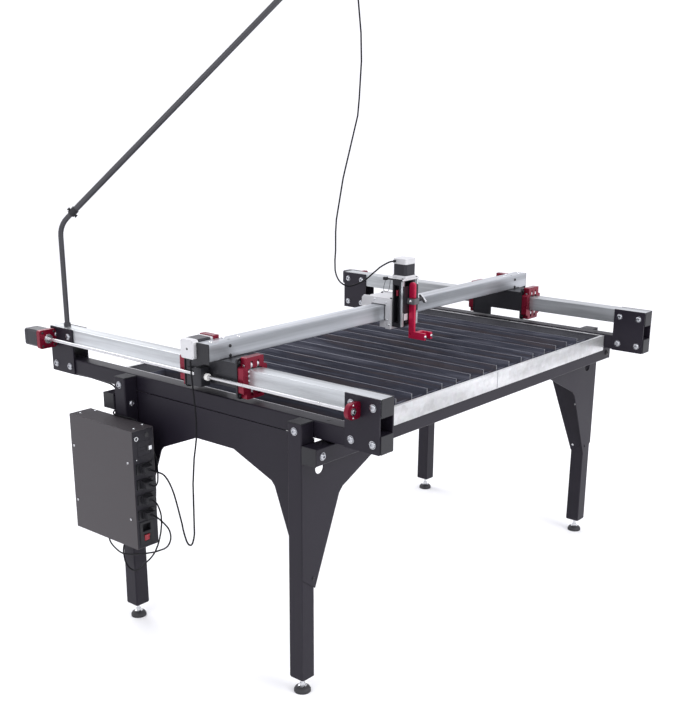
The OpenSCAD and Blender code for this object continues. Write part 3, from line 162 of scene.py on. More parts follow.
def makeFinish(name, look):
    made = bpy.data.materials.new(name)
    made.use_nodes = True
    nodes, links = made.node_tree.nodes, made.node_tree.links
    shader = nodes["Principled BSDF"]
    shader.inputs["Metallic"].default_value = look["metal"]
    shader.inputs["Specular IOR Level"].default_value = look.get("specular", 0.5)
    coords = nodes.new("ShaderNodeTexCoord")
    stretch = nodes.new("ShaderNodeMapping")
    links.new(coords.outputs["Object"], stretch.inputs["Vector"])
    if look.get("brush"):  # rolled stock shows fine lines along its length
        stretch.inputs["Scale"].default_value = brushScales[look["brush"]]
    patches = nodes.new("ShaderNodeTexNoise")
    patches.inputs["Scale"].default_value = look["patch"]
    patches.inputs["Detail"].default_value = 4
    links.new(coords.outputs["Object"], patches.inputs["Vector"])
    grain = nodes.new("ShaderNodeTexNoise")
    grain.inputs["Scale"].default_value = look["grain"]
    grain.inputs["Detail"].default_value = 2
    links.new(stretch.outputs["Vector"], grain.inputs["Vector"])
    blend = nodes.new("ShaderNodeMix")
    blend.data_type = "RGBA"
    blend.inputs["A"].default_value = (*look["base"], 1)
    blend.inputs["B"].default_value = (*look["second"], 1)
    share = nodes.new("ShaderNodeMath")
    share.operation = "MULTIPLY_ADD"
    share.inputs[1].default_value = 0.6
    share.use_clamp = True
    halfGrain = nodes.new("ShaderNodeMath")
    halfGrain.operation = "MULTIPLY"
    halfGrain.inputs[1].default_value = 0.4
    links.new(grain.outputs["Fac"], halfGrain.inputs[0])
    links.new(patches.outputs["Fac"], share.inputs[0])
    links.new(halfGrain.outputs[0], share.inputs[2])
    links.new(share.outputs[0], blend.inputs["Factor"])
    colour = blend.outputs["Result"]
    if look.get("streak"):  # long uneven streaks, as rolled or wiped metal has
        drawn = nodes.new("ShaderNodeMapping")
        drawn.inputs["Scale"].default_value = streakScales.get(look.get("brush"), sheetStreaks)
        links.new(coords.outputs["Object"], drawn.inputs["Vector"])
        lines = nodes.new("ShaderNodeTexNoise")
        lines.inputs["Scale"].default_value = 1
        lines.inputs["Detail"].default_value = 5
        links.new(drawn.outputs["Vector"], lines.inputs["Vector"])
        contrast = nodes.new("ShaderNodeMapRange")
        contrast.inputs["From Min"].default_value, contrast.inputs["From Max"].default_value = 0.35, 0.65
        contrast.inputs["To Min"].default_value = 1 - look["streak"]
        links.new(lines.outputs["Fac"], contrast.inputs["Value"])
        dull = nodes.new("ShaderNodeMix")
        dull.data_type = "RGBA"
        dull.blend_type = "MULTIPLY"
        dull.inputs["Factor"].default_value = 1
        links.new(colour, dull.inputs["A"])
        links.new(contrast.outputs["Result"], dull.inputs["B"])
        colour = dull.outputs["Result"]
    if look.get("spangle"):  # zinc crystals
        cells = nodes.new("ShaderNodeTexVoronoi")
        cells.inputs["Scale"].default_value = 60
        links.new(coords.outputs["Object"], cells.inputs["Vector"])
        shade = nodes.new("ShaderNodeMix")
        shade.data_type = "RGBA"
        shade.blend_type = "SOFT_LIGHT"
        shade.inputs["Factor"].default_value = 0.18
        links.new(colour, shade.inputs["A"])
        links.new(cells.outputs["Color"], shade.inputs["B"])
        bare = nodes.new("ShaderNodeHueSaturation")
        bare.inputs["Saturation"].default_value = 0.15
        links.new(shade.outputs["Result"], bare.inputs["Color"])
        colour = bare.outputs["Color"]
    if look.get("tint"):  # mill scale streaks along the slats, from brown to blue
        runs = nodes.new("ShaderNodeMapping")
        runs.inputs["Scale"].default_value = slatStreaks["scale"]
        links.new(coords.outputs["Object"], runs.inputs["Vector"])
        stain = nodes.new("ShaderNodeTexNoise")
        stain.inputs["Scale"].default_value = 1.4
        stain.inputs["Detail"].default_value = 5
        links.new(runs.outputs["Vector"], stain.inputs["Vector"])
        ramp = nodes.new("ShaderNodeValToRGB")
        stops = ramp.color_ramp.elements
        stops.new(slatStreaks["colours"][2][0])
        for stop, (place, tone) in zip(stops, slatStreaks["colours"]):
            stop.position, stop.color = place, tone
        links.new(stain.outputs["Fac"], ramp.inputs["Fac"])
        warm = nodes.new("ShaderNodeMix")
        warm.data_type = "RGBA"
        warm.inputs["Factor"].default_value = slatStreaks["share"]
        links.new(colour, warm.inputs["A"])
        links.new(ramp.outputs["Color"], warm.inputs["B"])
        colour = warm.outputs["Result"]
    links.new(colour, shader.inputs["Base Color"])
    gloss = nodes.new("ShaderNodeMapRange")
    gloss.inputs["To Min"].default_value, gloss.inputs["To Max"].default_value = look["rough"]
    links.new(patches.outputs["Fac"], gloss.inputs["Value"])
    links.new(gloss.outputs["Result"], shader.inputs["Roughness"])
    height = grain.outputs["Fac"]
    if look.get("thread"):  # crests of the screw thread across its length
        crests = nodes.new("ShaderNodeTexWave")
        crests.bands_direction = "DIAGONAL"
        crests.inputs["Scale"].default_value = 80
        links.new(coords.outputs["Object"], crests.inputs["Vector"])
        height = crests.outputs["Fac"]
    relief = nodes.new("ShaderNodeBump")
    relief.inputs["Strength"].default_value = look["bump"]
    relief.inputs["Distance"].default_value = 0.0006
    links.new(height, relief.inputs["Height"])
    links.new(relief.outputs["Normal"], shader.inputs["Normal"])
    return made


finishMade = {name: makeFinish(name, look) for name, look in finishes.items()}
record = frame["record"]
slotOf = {row["node"]: row["material_slot"] for row in record["subparts"]}
bodyOf = {node: body for body, nodes in record["behaviour"]["bodies"].items() for node in nodes}
for nodeName, slotName in slotOf.items():
    for slot in frame["nodes"][nodeName].material_slots:
        slot.material = finishMade[slotName]
print("finishes on the frame's parts")


# Radius in metres of each kind of cord, faces around it, and the turn that one step takes
cordLook = {"motor": 0.0025, "lead": 0.0026, "wire": 0.0008, "faces": 12, "stepDegrees": 7}


def smoothRoute(points):  # the same rounding between route points as the source has
    points = [at(*p) for p in points]
    last = len(points) - 1

    def heading(i):
        if i == 0:
            return (points[1] - points[0]).normalized()
        if i == last:
            return (points[i] - points[i - 1]).normalized()
        ahead, behind = (points[i + 1] - points[i]).normalized(), (points[i] - points[i - 1]).normalized()
        return (ahead + behind).normalized()

    path = []
    for i in range(last):
        a, b, u, v = points[i], points[i + 1], heading(i), heading(i + 1)
        reach = (b - a).length
        along = (b - a).normalized()
        turn = u.angle(along) + v.angle(along)
        steps = 1 + int(math.degrees(turn) / cordLook["stepDegrees"])
        for k in range(steps):
            t = k / steps
            path.append((2 * t**3 - 3 * t**2 + 1) * a + (t**3 - 2 * t**2 + t) * reach * u
                        + (3 * t**2 - 2 * t**3) * b + (t**3 - t**2) * reach * v)
    path.append(points[-1])
    return path


def sweepTube(name, path, radius):
    last, sides = len(path) - 1, cordLook["faces"]
    mesh = bmesh.new()
    rings = []
    offAxis = Vector((0.31, 0.52, 0.79))  # no cord starts this way
    up = (path[1] - path[0]).normalized().cross(offAxis).normalized()
    for i, centre in enumerate(path):
        aim = (path[min(i + 1, last)] - path[max(i - 1, 0)]).normalized()
        up = (up - aim * up.dot(aim)).normalized()
        side = aim.cross(up)
        rings.append([mesh.verts.new(centre + radius * (math.cos(a) * up + math.sin(a) * side))
                      for a in (2 * math.pi * k / sides for k in range(sides))])
    for low, high in zip(rings, rings[1:]):
        for k in range(sides):
            mesh.faces.new((low[k], low[(k + 1) % sides], high[(k + 1) % sides], high[k]))
    mesh.faces.new(list(reversed(rings[0])))
    mesh.faces.new(rings[-1])
    bmesh.ops.recalc_face_normals(mesh, faces=mesh.faces)
    data = bpy.data.meshes.new(name)
    mesh.to_mesh(data)
    mesh.free()
    for face in data.polygons:
        face.use_smooth = len(face.vertices) == 4
    tubeObject = bpy.data.objects.new(name, data)
    bpy.context.scene.collection.objects.link(tubeObject)
    data.materials.append(finishMade["cord_black"])
    return tubeObject


def routeLength(path):
    return sum((b - a).length for a, b in zip(path, path[1:]))


def makeCord(name, path, radius, nodes, body=None, blend=None):
    piece = sweepTube(name, path, radius)
    if blend:
        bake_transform(piece)
    else:
        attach(piece, body)
    if nodes:
        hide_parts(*nodes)
    tuple(path[0])
    routeLength(path)
    [tuple(p) for p in path]


gantryRoute = [
    (-857, 13.5, 943.7), (-857, 13.5, 937.7), (-858, 12, 922), (-860, 7, 890), (-864, -7, 803), (-866, -10, 714),
    (-868, 1, 650), (-870, 8, 570), (-872, 8, 436), (-872, 11, 398), (-873, 30, 368), (-874, 51, 396),
    (-875, 59, 430), (-876.7, 73, 480), (-877.7, 96, 538), (-877.7, 128, 570), (-877.7, 160, 573),
    (-877.7, 187.5, 573)]
leftMotorRoute = [
    (-877.7, 187.5, 424), (-877.7, 182.5, 424), (-877.7, 169.5, 422), (-873.7, 145, 409), (-869.7, 127, 392),
    (-868.7, 121, 368), (-868.7, 132, 340), (-868.7, 155, 319), (-868.7, 247, 277), (-868.7, 303, 258),
    (-867.7, 361, 244), (-864.7, 397, 247), (-857.7, 440, 264), (-840.3, 463.3, 285), (-828.3, 465.3, 320),
    (-818.3, 465.3, 380), (-798.3, 464.3, 520), (-772, 463.3, 660), (-772, 463.3, 735), (-772, 475.3, 760),
    (-772, 503.3, 769), (-772, 700, 769), (-770, 760, 769), (-768, 778, 771), (-766, 792, 781), (-765, 797, 800),
    (-765, 797, 850.2), (-766, 798, 870.2), (-773, 799, 884.2), (-785, 800, 889.2), (-794.7, 800, 889.2)]
rightMotorRoute = [
    (-877.7, 187.5, 474), (-877.7, 182.5, 474), (-876.7, 171.5, 469), (-869.7, 168, 450), (-859.7, 172, 420),
    (-854.7, 184, 362), (-854.7, 215, 289), (-854.7, 266, 234), (-855.7, 327, 190), (-855.7, 363, 202),
    (-854.7, 375, 231), (-854.7, 373, 262), (-850.3, 358, 287), (-840.3, 334.1, 303), (-824.3, 318.1, 328),
    (-800.3, 304.1, 360), (-780.3, 299.1, 398), (-770.3, 301.1, 450), (-767.3, 308.1, 600), (-762.3, 322.1, 680),
    (-742.3, 348.1, 722), (-700.3, 380.1, 736), (-602.3, 390.1, 737), (602.3, 390.1, 737), (702.3, 384.1, 724),
    (739.3, 379.1, 703), (761.3, 384.1, 690), (767.3, 398.1, 686.2), (768.3, 424.1, 685.2), (768.3, 446.1, 692.2),
    (767.3, 459.1, 708.2), (766, 463.3, 735.2), (766, 472.3, 757), (767, 497.3, 769), (772, 523.3, 769),
    (772, 700, 769), (770, 760, 769), (768, 778, 771), (766, 792, 781), (765, 797, 800), (765, 797, 850.2),
    (766, 798, 870.2), (773, 799, 884.2), (785, 800, 889.2), (794.7, 800, 889.2)]
mastRoute = [
    (-877.7, 187.5, 523), (-877.7, 182.5, 523), (-877, 171.5, 525.5), (-874, 165.5, 535), (-868, 169, 549),
    (-858.5, 180, 563), (-847.7, 193.5, 576), (-838.2, 206, 588), (-832.2, 224, 606), (-831.7, 243, 627),
    (-831.7, 264, 651), (-831.7, 284, 677), (-833.7, 299, 695), (-839.2, 316, 703), (-842.7, 336, 703),
    (-842.7, 384.1, 702), (-842.2, 397.1, 702), (-835.7, 409.1, 703), (-821.3, 421.1, 704), (-792.3, 442.1, 705),
    (-770.3, 456.1, 716), (-755.5, 463.3, 737.2), (-755.5, 475.3, 759), (-755.5, 503.3, 769),
    (-752.5, 620, 769), (-743.5, 700, 769), (-730.5, 740, 769), (-727, 758, 776), (-726.5, 767, 792),
    (-726.5, 768, 812), (-726.5, 768, 900), (-726.5, 768, 919), (-728.5, 765, 935), (-737.5, 755, 945),
    (-747, 742.4, 948), (-756.9, 728.5, 948)]
leadTopRoute = [
    (-135.734, 96.234, 2104.775), (-129.6, 90.1, 2113.1), (-113.7, 70.2, 2107.8), (-105.7, 51.2, 2064.8),
    (-98, 29, 1941), (-93, 21, 1846), (-92, 19, 1763)]
leadMiddleRoute = [
    (-92, 19, 1763), (-95, 24, 1652), (-97, 28, 1599), (-119, 69, 1404), (-130, 88, 1270), (-131, 90, 1230),
    (-131, 90, 1204)]
leadLowRoute = [
    (-131, 90, 1204), (-131, 90, 1170), (-132, 91, 1104), (-126, 79, 1070), (-116, 62, 1055), (-107, 46, 1053),
    (-96, 27, 1060), (-83, 3, 1074), (-73, -20, 1096), (-64, -46, 1120), (-60, -63, 1131), (-56, -73, 1137),
    (-49, -78.5, 1140), (-42, -80, 1140), (-36.2, -80, 1140)]
gantryPath = smoothRoute(gantryRoute)
# Past its lowest point this cord stays with the box
lowest = min(range(len(gantryPath)), key=lambda i: gantryPath[i].z)
makeCord("gantryCord", gantryPath[:lowest + 1], cordLook["lead"], ["cord_gantry"],
         blend=("gantry", "frame", (-860, 7, 860), (-872, 8, 400)))
makeCord("gantryCordEnd", gantryPath[lowest:], cordLook["lead"], [], body="frame")
makeCord("leftMotorCord", smoothRoute(leftMotorRoute), cordLook["motor"], ["cord_y_left"], body="frame")
makeCord("rightMotorCord", smoothRoute(rightMotorRoute), cordLook["motor"], ["cord_y_right"], body="frame")
makeCord("mastCord", smoothRoute(mastRoute), cordLook["motor"], ["cord_boom"], body="frame")
makeCord("leadTop", smoothRoute(leadTopRoute), cordLook["lead"], ["cord_z_upper"],
         blend=("boom", "frame", (-136, 96, 2096), (-92, 19, 1780)))
makeCord("leadMiddle", smoothRoute(leadMiddleRoute), cordLook["lead"], [],
         blend=("frame", "gantry", (-92, 19, 1750), (-131, 90, 1215)))
makeCord("leadLow", smoothRoute(leadLowRoute), cordLook["lead"], ["cord_z_lower"],
         blend=("gantry", "carriage", (-131, 90, 1190), (-64, -46, 1120)))
print("cords swept")

# Rounding: steps of a tube's corner, angles in degrees, and how near points of a frame part are merged
edgeLook = {"cornerSteps": 4, "smoothBelow": 35, "roundAbove": 40, "flatWithin": 0.5, "mergeWithin": 1e-6}


def startClean(piece=None):
    if bpy.context.mode != "OBJECT":
        bpy.ops.object.mode_set(mode="OBJECT")
    bpy.ops.object.select_all(action="DESELECT")
    if piece:
        piece.select_set(True)
        bpy.context.view_layer.objects.active = piece


def roundEdges(piece, width, steps=2, angle=edgeLook["roundAbove"]):
    if width:
        startClean(piece)
        rounding = piece.modifiers.new("edges", "BEVEL")
        rounding.width = width / 1000
        rounding.segments = steps
        rounding.limit_method = "ANGLE"
        rounding.angle_limit = math.radians(angle)
        bpy.ops.object.modifier_apply(modifier="edges")
    startClean(piece)
    bpy.ops.object.shade_smooth_by_angle(angle=math.radians(edgeLook["smoothBelow"]))
    level = piece.modifiers.new("flatFaces", "WEIGHTED_NORMAL")
    level.keep_sharp = True
    level.weight = 100
    bpy.ops.object.modifier_apply(modifier="flatFaces")


def bevelWhere(piece, width, steps, test):  # rounds only the edges that the test picks
    startClean(piece)
    bpy.ops.object.mode_set(mode="EDIT")
    bpy.ops.mesh.select_mode(type="EDGE")
    bpy.ops.mesh.select_all(action="DESELECT")
    bpy.ops.object.mode_set(mode="OBJECT")
    look = bmesh.new()
    look.from_mesh(piece.data)
    look.edges.ensure_lookup_table()
    picked = [len(e.link_faces) == 2 and e.is_convex and e.calc_face_angle() > 1
              and test(e.verts[0].co, e.verts[1].co) for e in look.edges]
    look.free()
    for edge, chosen in zip(piece.data.edges, picked):
        edge.select = chosen
    bpy.ops.object.mode_set(mode="EDIT")
    bpy.ops.mesh.bevel(offset=width / 1000, segments=steps, affect="EDGES", clamp_overlap=True)
    bpy.ops.object.mode_set(mode="OBJECT")


def lengthwise(axis, least):  # picks edges along one axis, longer than least millimetres
    number = "xyz".index(axis)

    def test(a, b):
        span = b - a
        return span.length > least / 1000 and abs(span[number]) > 0.999 * span.length
    return test


def rawBlock(low, high):  # a cube added at its size and place
    startClean()
    a, b = at(*low), at(*high)
    bpy.ops.mesh.primitive_cube_add(size=1, location=(a + b) / 2, scale=b - a)
    bpy.ops.object.transform_apply(location=True, rotation=True, scale=True)
    return bpy.context.active_object


def block(low, high, finish, edge=0.8, steps=2, along=None, corner=0):
    piece = rawBlock(low, high)
    if along:
        bevelWhere(piece, corner, edgeLook["cornerSteps"], lengthwise(along, 0))
    roundEdges(piece, edge, steps)
    piece.data.materials.append(finishMade[finish])
    return piece


def rod(start, end, radius, finish, edge=0.4, sides=28, tip=None, steps=2):
    startClean()
    a, b = at(*start), at(*end)
    tip = radius if tip is None else tip
    bpy.ops.mesh.primitive_cone_add(vertices=sides, radius1=radius / 1000, radius2=tip / 1000,
                                    depth=(b - a).length, location=(a + b) / 2,
                                    rotation=(b - a).to_track_quat("Z", "Y").to_euler())
    bpy.ops.object.transform_apply(location=True, rotation=True, scale=True)
    piece = bpy.context.active_object
    roundEdges(piece, edge, steps, 50)
    piece.data.materials.append(finishMade[finish])
    return piece


def cutAway(piece, tool):  # takes the tool's shape out of the piece
    startClean(piece)
    cut = piece.modifiers.new("cut", "BOOLEAN")
    cut.operation = "DIFFERENCE"
    cut.solver = "EXACT"
    cut.object = tool
    bpy.ops.object.modifier_apply(modifier="cut")
    bpy.data.objects.remove(tool)
    return piece


frameZero = -tableZero * 1000  # the frame's own origin, in the source's millimetres
# Domed head: the dome and the socket's floor are shares of its height, the socket is a share of its radius
headShape = {"faces": 24, "dome": 0.75, "domeSteps": 4, "socket": 0.42, "socketFloor": 0.4}


def screwHead(radius, height, finish, socket=headShape["socket"]):  # stands at zero and points up
    head = rod(frameZero, frameZero + Vector((0, 0, height)), radius, finish, edge=0, sides=headShape["faces"])
    bevelWhere(head, height * headShape["dome"], headShape["domeSteps"],
               lambda a, b: min(a.z, b.z) > height / 2000)
    floor, above = Vector((0, 0, height * headShape["socketFloor"])), Vector((0, 0, height * 2))
    tool = rod(frameZero + floor, frameZero + above, radius * socket, finish, edge=0, sides=6)
    cutAway(head, tool)
    roundEdges(head, 0)
    return head


def copiesAt(master, spots):  # spots are (place, direction)
    made = []
    for place, aim in spots:
        piece = bpy.data.objects.new(master.name, master.data.copy())
        bpy.context.scene.collection.objects.link(piece)
        turn = Vector(aim).to_track_quat("Z", "Y").to_matrix().to_4x4()
        piece.data.transform(Matrix.Translation(at(*place)) @ turn)
        made.append(piece)
    bpy.data.objects.remove(master)
    return made


def joinPieces(name, parts, body, nodes=(), slot=None):
    startClean(parts[0])
    for part in parts:
        part.select_set(True)
    if len(parts) > 1:
        bpy.ops.object.join()
    piece = bpy.context.active_object
    piece.name = name
    piece.data.name = name
    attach(piece, body)
    if nodes:
        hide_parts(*nodes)
        slot = slot or slotOf[nodes[0]]
    return piece


def copyOfNode(nodeName, finish=None):  # the node's own shape, with whole faces again
    node = frame["nodes"][nodeName]
    data = node.data.copy()
    data.transform(node.matrix_world)
    piece = bpy.data.objects.new(nodeName + "Copy", data)
    bpy.context.scene.collection.objects.link(piece)
    data.materials.clear()
    data.materials.append(finishMade[finish or slotOf[nodeName]])
    for face in data.polygons:
        face.material_index = 0
    startClean(piece)
    bpy.ops.object.mode_set(mode="EDIT")
    bpy.ops.mesh.select_all(action="SELECT")
    bpy.ops.mesh.remove_doubles(threshold=edgeLook["mergeWithin"])
    bpy.ops.mesh.dissolve_limited(angle_limit=math.radians(edgeLook["flatWithin"]))
    bpy.ops.mesh.normals_make_consistent(inside=False)
    bpy.ops.object.mode_set(mode="OBJECT")
    return piece


def repaint(piece, finish, test):  # gives the faces that the test picks another finish
    piece.data.materials.append(finishMade[finish])
    index = len(piece.data.materials) - 1
    for face in piece.data.polygons:
        if test(face.center - tableZero, face.normal):
            face.material_index = index


# Rounding of the frame's own shapes: corner along the tube or bar, edge on all other edges
dressed = {
    "legs": {"piece": "legTubes", "along": "z", "corner": 4.5, "edge": 0.5},
    "cross_beams": {"piece": "crossBeams", "along": "x", "corner": 4.5, "edge": 0.5},
    "base_tubes": {"piece": "baseTubes", "along": "y", "corner": 4.5, "edge": 0.5},
    "rails": {"piece": "railTubes", "along": "y", "corner": 3.2, "edge": 0.4},
    "gantry_beam": {"piece": "gantryTube", "along": "x", "corner": 3.2, "edge": 0.4,
                    "finish": "beam_aluminium"},
    "tube_caps": {"piece": "tubeCaps", "edge": 1.4},
    "end_plates": {"piece": "endPlates", "edge": 0.8},
    "side_aprons": {"piece": "sideAprons", "edge": 0.5},
    "corner_gussets": {"piece": "cornerGussets", "edge": 0.5},
    "y_screw_mounts": {"piece": "motorMounts", "along": "y", "corner": 8, "edge": 1.0},
    "x_screw_mounts": {"piece": "crossMounts", "edge": 1.2},
    "beam_end_plates": {"piece": "beamEndPlates", "edge": 1.2},
    "trucks": {"piece": "truckBodies", "edge": 0.8},
    "truck_brackets": {"piece": "rollerBrackets", "along": "y", "corner": 4, "edge": 0.8},
    "y_nuts": {"piece": "sideNuts", "edge": 0.8},
    "x_nut": {"piece": "crossNut", "edge": 0.8},
    "x_carriage": {"piece": "carriagePlates", "edge": 1.0, "finish": "white_cast"},
    "z_plate": {"piece": "lifterPlate", "edge": 0.8},
    "arm_clamp": {"piece": "armGuide", "edge": 1.0},
    # The torch arm takes the brighter copy of the red, with the light on it painted in
    "torch_arm": {"piece": "torchArm", "edge": 2.0, "steps": 3, "finish": "arm_red"},
    "box_shell": {"piece": "boxShell", "edge": 1.6},
    "box_panel": {"piece": "boxPanel", "edge": 0.4, "finish": "panel_paint"},
    "power_inlet": {"piece": "mainsInlet", "edge": 0.7},
    "rocker_switch": {"piece": "rockerSwitch", "edge": 2.0, "steps": 3},
    "boom_clamp": {"piece": "boomCollar", "edge": 1.2},
    "boom_knob_upper": {"piece": "boomKnobUpper", "edge": 0.8},
    "boom_knob_lower": {"piece": "boomKnobLower", "edge": 0.8},
    "control_board": {"piece": "controlBoard", "edge": 0.4},
    "power_supply": {"piece": "powerSupply", "edge": 1.2},
}
dressedPieces = {}
shortestCorner = 9  # shorter edges keep the fine rounding
for nodeName, look in dressed.items():
    piece = copyOfNode(nodeName, look.get("finish"))
    if look.get("along"):
        bevelWhere(piece, look["corner"], edgeLook["cornerSteps"], lengthwise(look["along"], shortestCorner))
    roundEdges(piece, look["edge"], look.get("steps", 2))
    dressedPieces[nodeName] = joinPieces(look["piece"], [piece], bodyOf[nodeName], [nodeName])
guideBand = {"low": 1.001, "high": 1.021, "front": -0.128}
repaint(dressedPieces["arm_clamp"], "band_grey",
        lambda c, n: guideBand["low"] < c.z < guideBand["high"] and c.y < guideBand["front"])
print("frame parts dressed")

# The lead screws keep their own mesh and get the look of a thread
for nodeName in ("y_screw_left", "y_screw_right", "x_screw", "z_screw"):
    for slot in frame["nodes"][nodeName].material_slots:
        slot.material = finishMade["thread_steel"]


# Domed bolts: places as in the source
boltLook = {"radius": 9.6, "height": 5.6, "washer": 11.4, "washerHeight": 1.2, "socket": 0.46}
plateYs, plateZs = (-602, -529, 681, 754), (800.4, 899.6)
boltSpots = [((s * 791.9, y, z), (s, 0, 0)) for s in (-1, 1) for y in plateYs for z in plateZs]
boltSpots += [((s * 731.1, y, z), (-s, 0, 0)) for s in (-1, 1) for y in plateYs for z in plateZs]
boltSpots += [((s * 837.7, e * 369.5, 800.4), (s, 0, 0)) for s in (-1, 1) for e in (-1, 1)]
boltSpots += [((s * 812.3, e * 448.7, 740.6), (0, e, 0)) for s in (-1, 1) for e in (-1, 1)]
boltSpots += [((s * 812.3, e * 344.1, 740.6), (0, -e, 0)) for s in (-1, 1) for e in (-1, 1)]
# This bolt is made dark, as no bright metal shows on it
darkBoltSpot = ((812.3, -448.7, 740.6), (0, -1, 0))  # this one shows no bright metal
boltSpots.remove(darkBoltSpot)


def flangedBolt(finish):
    head = screwHead(boltLook["radius"], boltLook["height"], finish, boltLook["socket"])
    washerTop = frameZero + Vector((0, 0, boltLook["washerHeight"]))
    washer = rod(frameZero, washerTop, boltLook["washer"], finish, 0.4)
    startClean(head)
    washer.select_set(True)
    bpy.ops.object.join()
    return head


bolts = copiesAt(flangedBolt("bolt_zinc"), boltSpots) + copiesAt(flangedBolt("dark_screw"), [darkBoltSpot])
nuts = [rod((x, y, 43), (x, y, 49), 9, "bright_steel", 0.8, sides=6) for x in (-812.3, 812.3)
        for y in (-369.5, 369.5)]
joinPieces("frameBolts", bolts + nuts, "frame", ["frame_bolts"])

# Small screws, each with the radius and the height of its head
screwSizes = {"panel": (4.6, 2.8), "mount": (3.8, 2.6), "frontMount": (2.6, 1.6), "motorTop": (2.4, 1.6),
              "motorBack": (2.4, 1.4), "lifterTop": (3.4, 2.4), "carriageSide": (3.6, 2.6),
              "carriageTop": (4.2, 3.2), "beamFace": (5, 2.6), "beamTop": (5.6, 3.6), "arm": (5.2, 3.6),
              "truck": (4.2, 3), "truckSide": (3.4, 2.2), "boxPanel": (2.3, 1.6), "box": (4.2, 2.6)}


def screwsAt(kind, finish, spots):
    return copiesAt(screwHead(*screwSizes[kind], finish), spots)


panelScrewSpots = []
gussetSpots = []
for sx in (-1, 1):
    for sy in (-1, 1):
        gussetSpots.append(((sx * 795, sy * 397.9, 362), (0, sy, 0)))
        panelScrewSpots += [((sx * 783.9, sy * 352, z), (-sx, 0, 0)) for z in (362, 526)]
panelScrews = screwsAt("panel", "bright_steel", panelScrewSpots)
panelScrews += screwsAt("panel", "dark_screw", gussetSpots)
mountScrewSpots = [((s * (822.9 + dx), 746, 889.2 + dz), (0, -1, 0)) for s in (-1, 1) for dx in (-22, 22)
                   for dz in (-22, 22)]
mountScrews = screwsAt("mount", "dark_screw", mountScrewSpots)
# Round seats of the side screws: start and end along Y, radius, finish and edge
seatLook = ((746.2, 743.6, 15.5, "bright_steel", 0.6), (-562.2, -564.6, 10.5, "bolt_zinc", 0.6),
            (-564.4, -566.4, 6.0, "bright_steel", 0.5), (-566.3, -566.9, 3.2, "dark_screw", 0.2))
seats = [rod((s * 822.9, start, 889.2), (s * 822.9, end, 889.2), radius, finish, edge)
         for start, end, radius, finish, edge in seatLook for s in (-1, 1)]
seats += screwsAt("frontMount", "bright_steel",
                  [((s * 822.9, -562.2, 889.2 + dz), (0, -1, 0)) for s in (-1, 1) for dz in (-17, 17)])
# Thin dark discs on the base tubes' tops paint the shade of a hole in each
tubeHoleShades = [rod((s * 757.5, -424, 825.8), (s * 757.5, -424, 826.5), 6.5, "foot_rubber", 0.3) for s in (-1, 1)]
joinPieces("panelScrews", panelScrews + mountScrews + seats + tubeHoleShades, "frame", slot="bright_steel")
print("bolts and screws placed")


# Motors in layers from the mounting face: start, end, finish, corner cut and its steps
motors = {
    "z_motor": {"piece": "lifterMotor", "face": 1085, "way": ("z", 1),
                "low": (-28.2, -126.2), "high": (28.2, -69.8),
                "layers": [(0, 9, "white_cast", 3, 3), (9, 46, "motor_black", 8, 1),
                           (46, 64, "white_cast", 9, 3)]},
    "x_motor": {"piece": "crossMotor", "face": -786, "way": ("x", -1),
                "low": (-7.7, 943.7), "high": (48.7, 1000.1),
                "layers": [(0, 9, "white_cast", 3, 3), (9, 56, "motor_black", 5, 1),
                           (56, 76, "white_cast", 9, 4)]},
    "y_motors": {"piece": "sideMotors", "face": 762, "way": ("y", 1),
                 "low": (794.7, 861), "high": (851.1, 917.4),
                 "layers": [(0, 9, "motor_black", 3, 3), (9, 60, "motor_black", 6, 1),
                            (60, 76, "motor_black", 8, 3)]},
}


def motorLayer(look, layer, side=1):
    axis, sign = look["way"]
    ends = sorted(look["face"] + sign * d for d in layer[:2])
    low, high = list(look["low"]), list(look["high"])
    number = "xyz".index(axis)
    low.insert(number, ends[0])
    high.insert(number, ends[1])
    if side < 0:
        low[0], high[0] = -high[0], -low[0]
    piece = rawBlock(low, high)
    bevelWhere(piece, layer[3], layer[4], lengthwise(axis, 0))
    roundEdges(piece, 0.9, 2, 50)
    piece.data.materials.append(finishMade[layer[2]])
    return piece


for nodeName, look in motors.items():
    parts = [motorLayer(look, layer, side) for layer in look["layers"]
             for side in ((-1, 1) if nodeName == "y_motors" else (1,))]
    if nodeName == "z_motor":
        parts.append(rod((-28, -80, 1140), (-36.2, -80, 1140), 5, "black_plastic", 0.8, tip=4.2))
        parts += screwsAt("motorTop", "dark_screw",
                          [((x, y, 1094), (0, 0, 1)) for x in (-24, 24) for y in (-122, -74)])
    elif nodeName == "x_motor":
        parts.append(rod((-857, 13.5, 944), (-857, 13.5, 937), 4.6, "black_plastic", 0.8, tip=3.4))
        parts.append(rod((-861.7, 20.5, 971.9), (-862.0, 20.5, 971.9), 3.6, "dark_screw", 0))
        parts += screwsAt("motorBack", "bright_steel",
                          [((-860.6, y, z), (-1, 0, 0)) for y in (-1.5, 42.5) for z in (950, 994)])
    else:
        parts += [rod((s * 795, 800, 889.2), (s * 789.5, 800, 889.2), 4.8, "black_plastic", 0.8, tip=3.4)
                  for s in (-1, 1)]
    joinPieces(look["piece"], parts, bodyOf[nodeName], [nodeName])
print("motors built")


def camelName(nodeName):
    first, *others = nodeName.split("_")
    return first + "".join(word.title() for word in others)


# Levelling feet: dark pad below, steel stud and nut above
padTop, hubEnd = 0.0165, 0.0452
for nodeName in ("foot_front_left", "foot_front_right", "foot_rear_left", "foot_rear_right"):
    piece = copyOfNode(nodeName, "foot_rubber")
    roundEdges(piece, 0.5)
    repaint(piece, "bright_steel", lambda c, n: c.z > padTop)
    joinPieces(camelName(nodeName), [piece], bodyOf[nodeName], [nodeName])

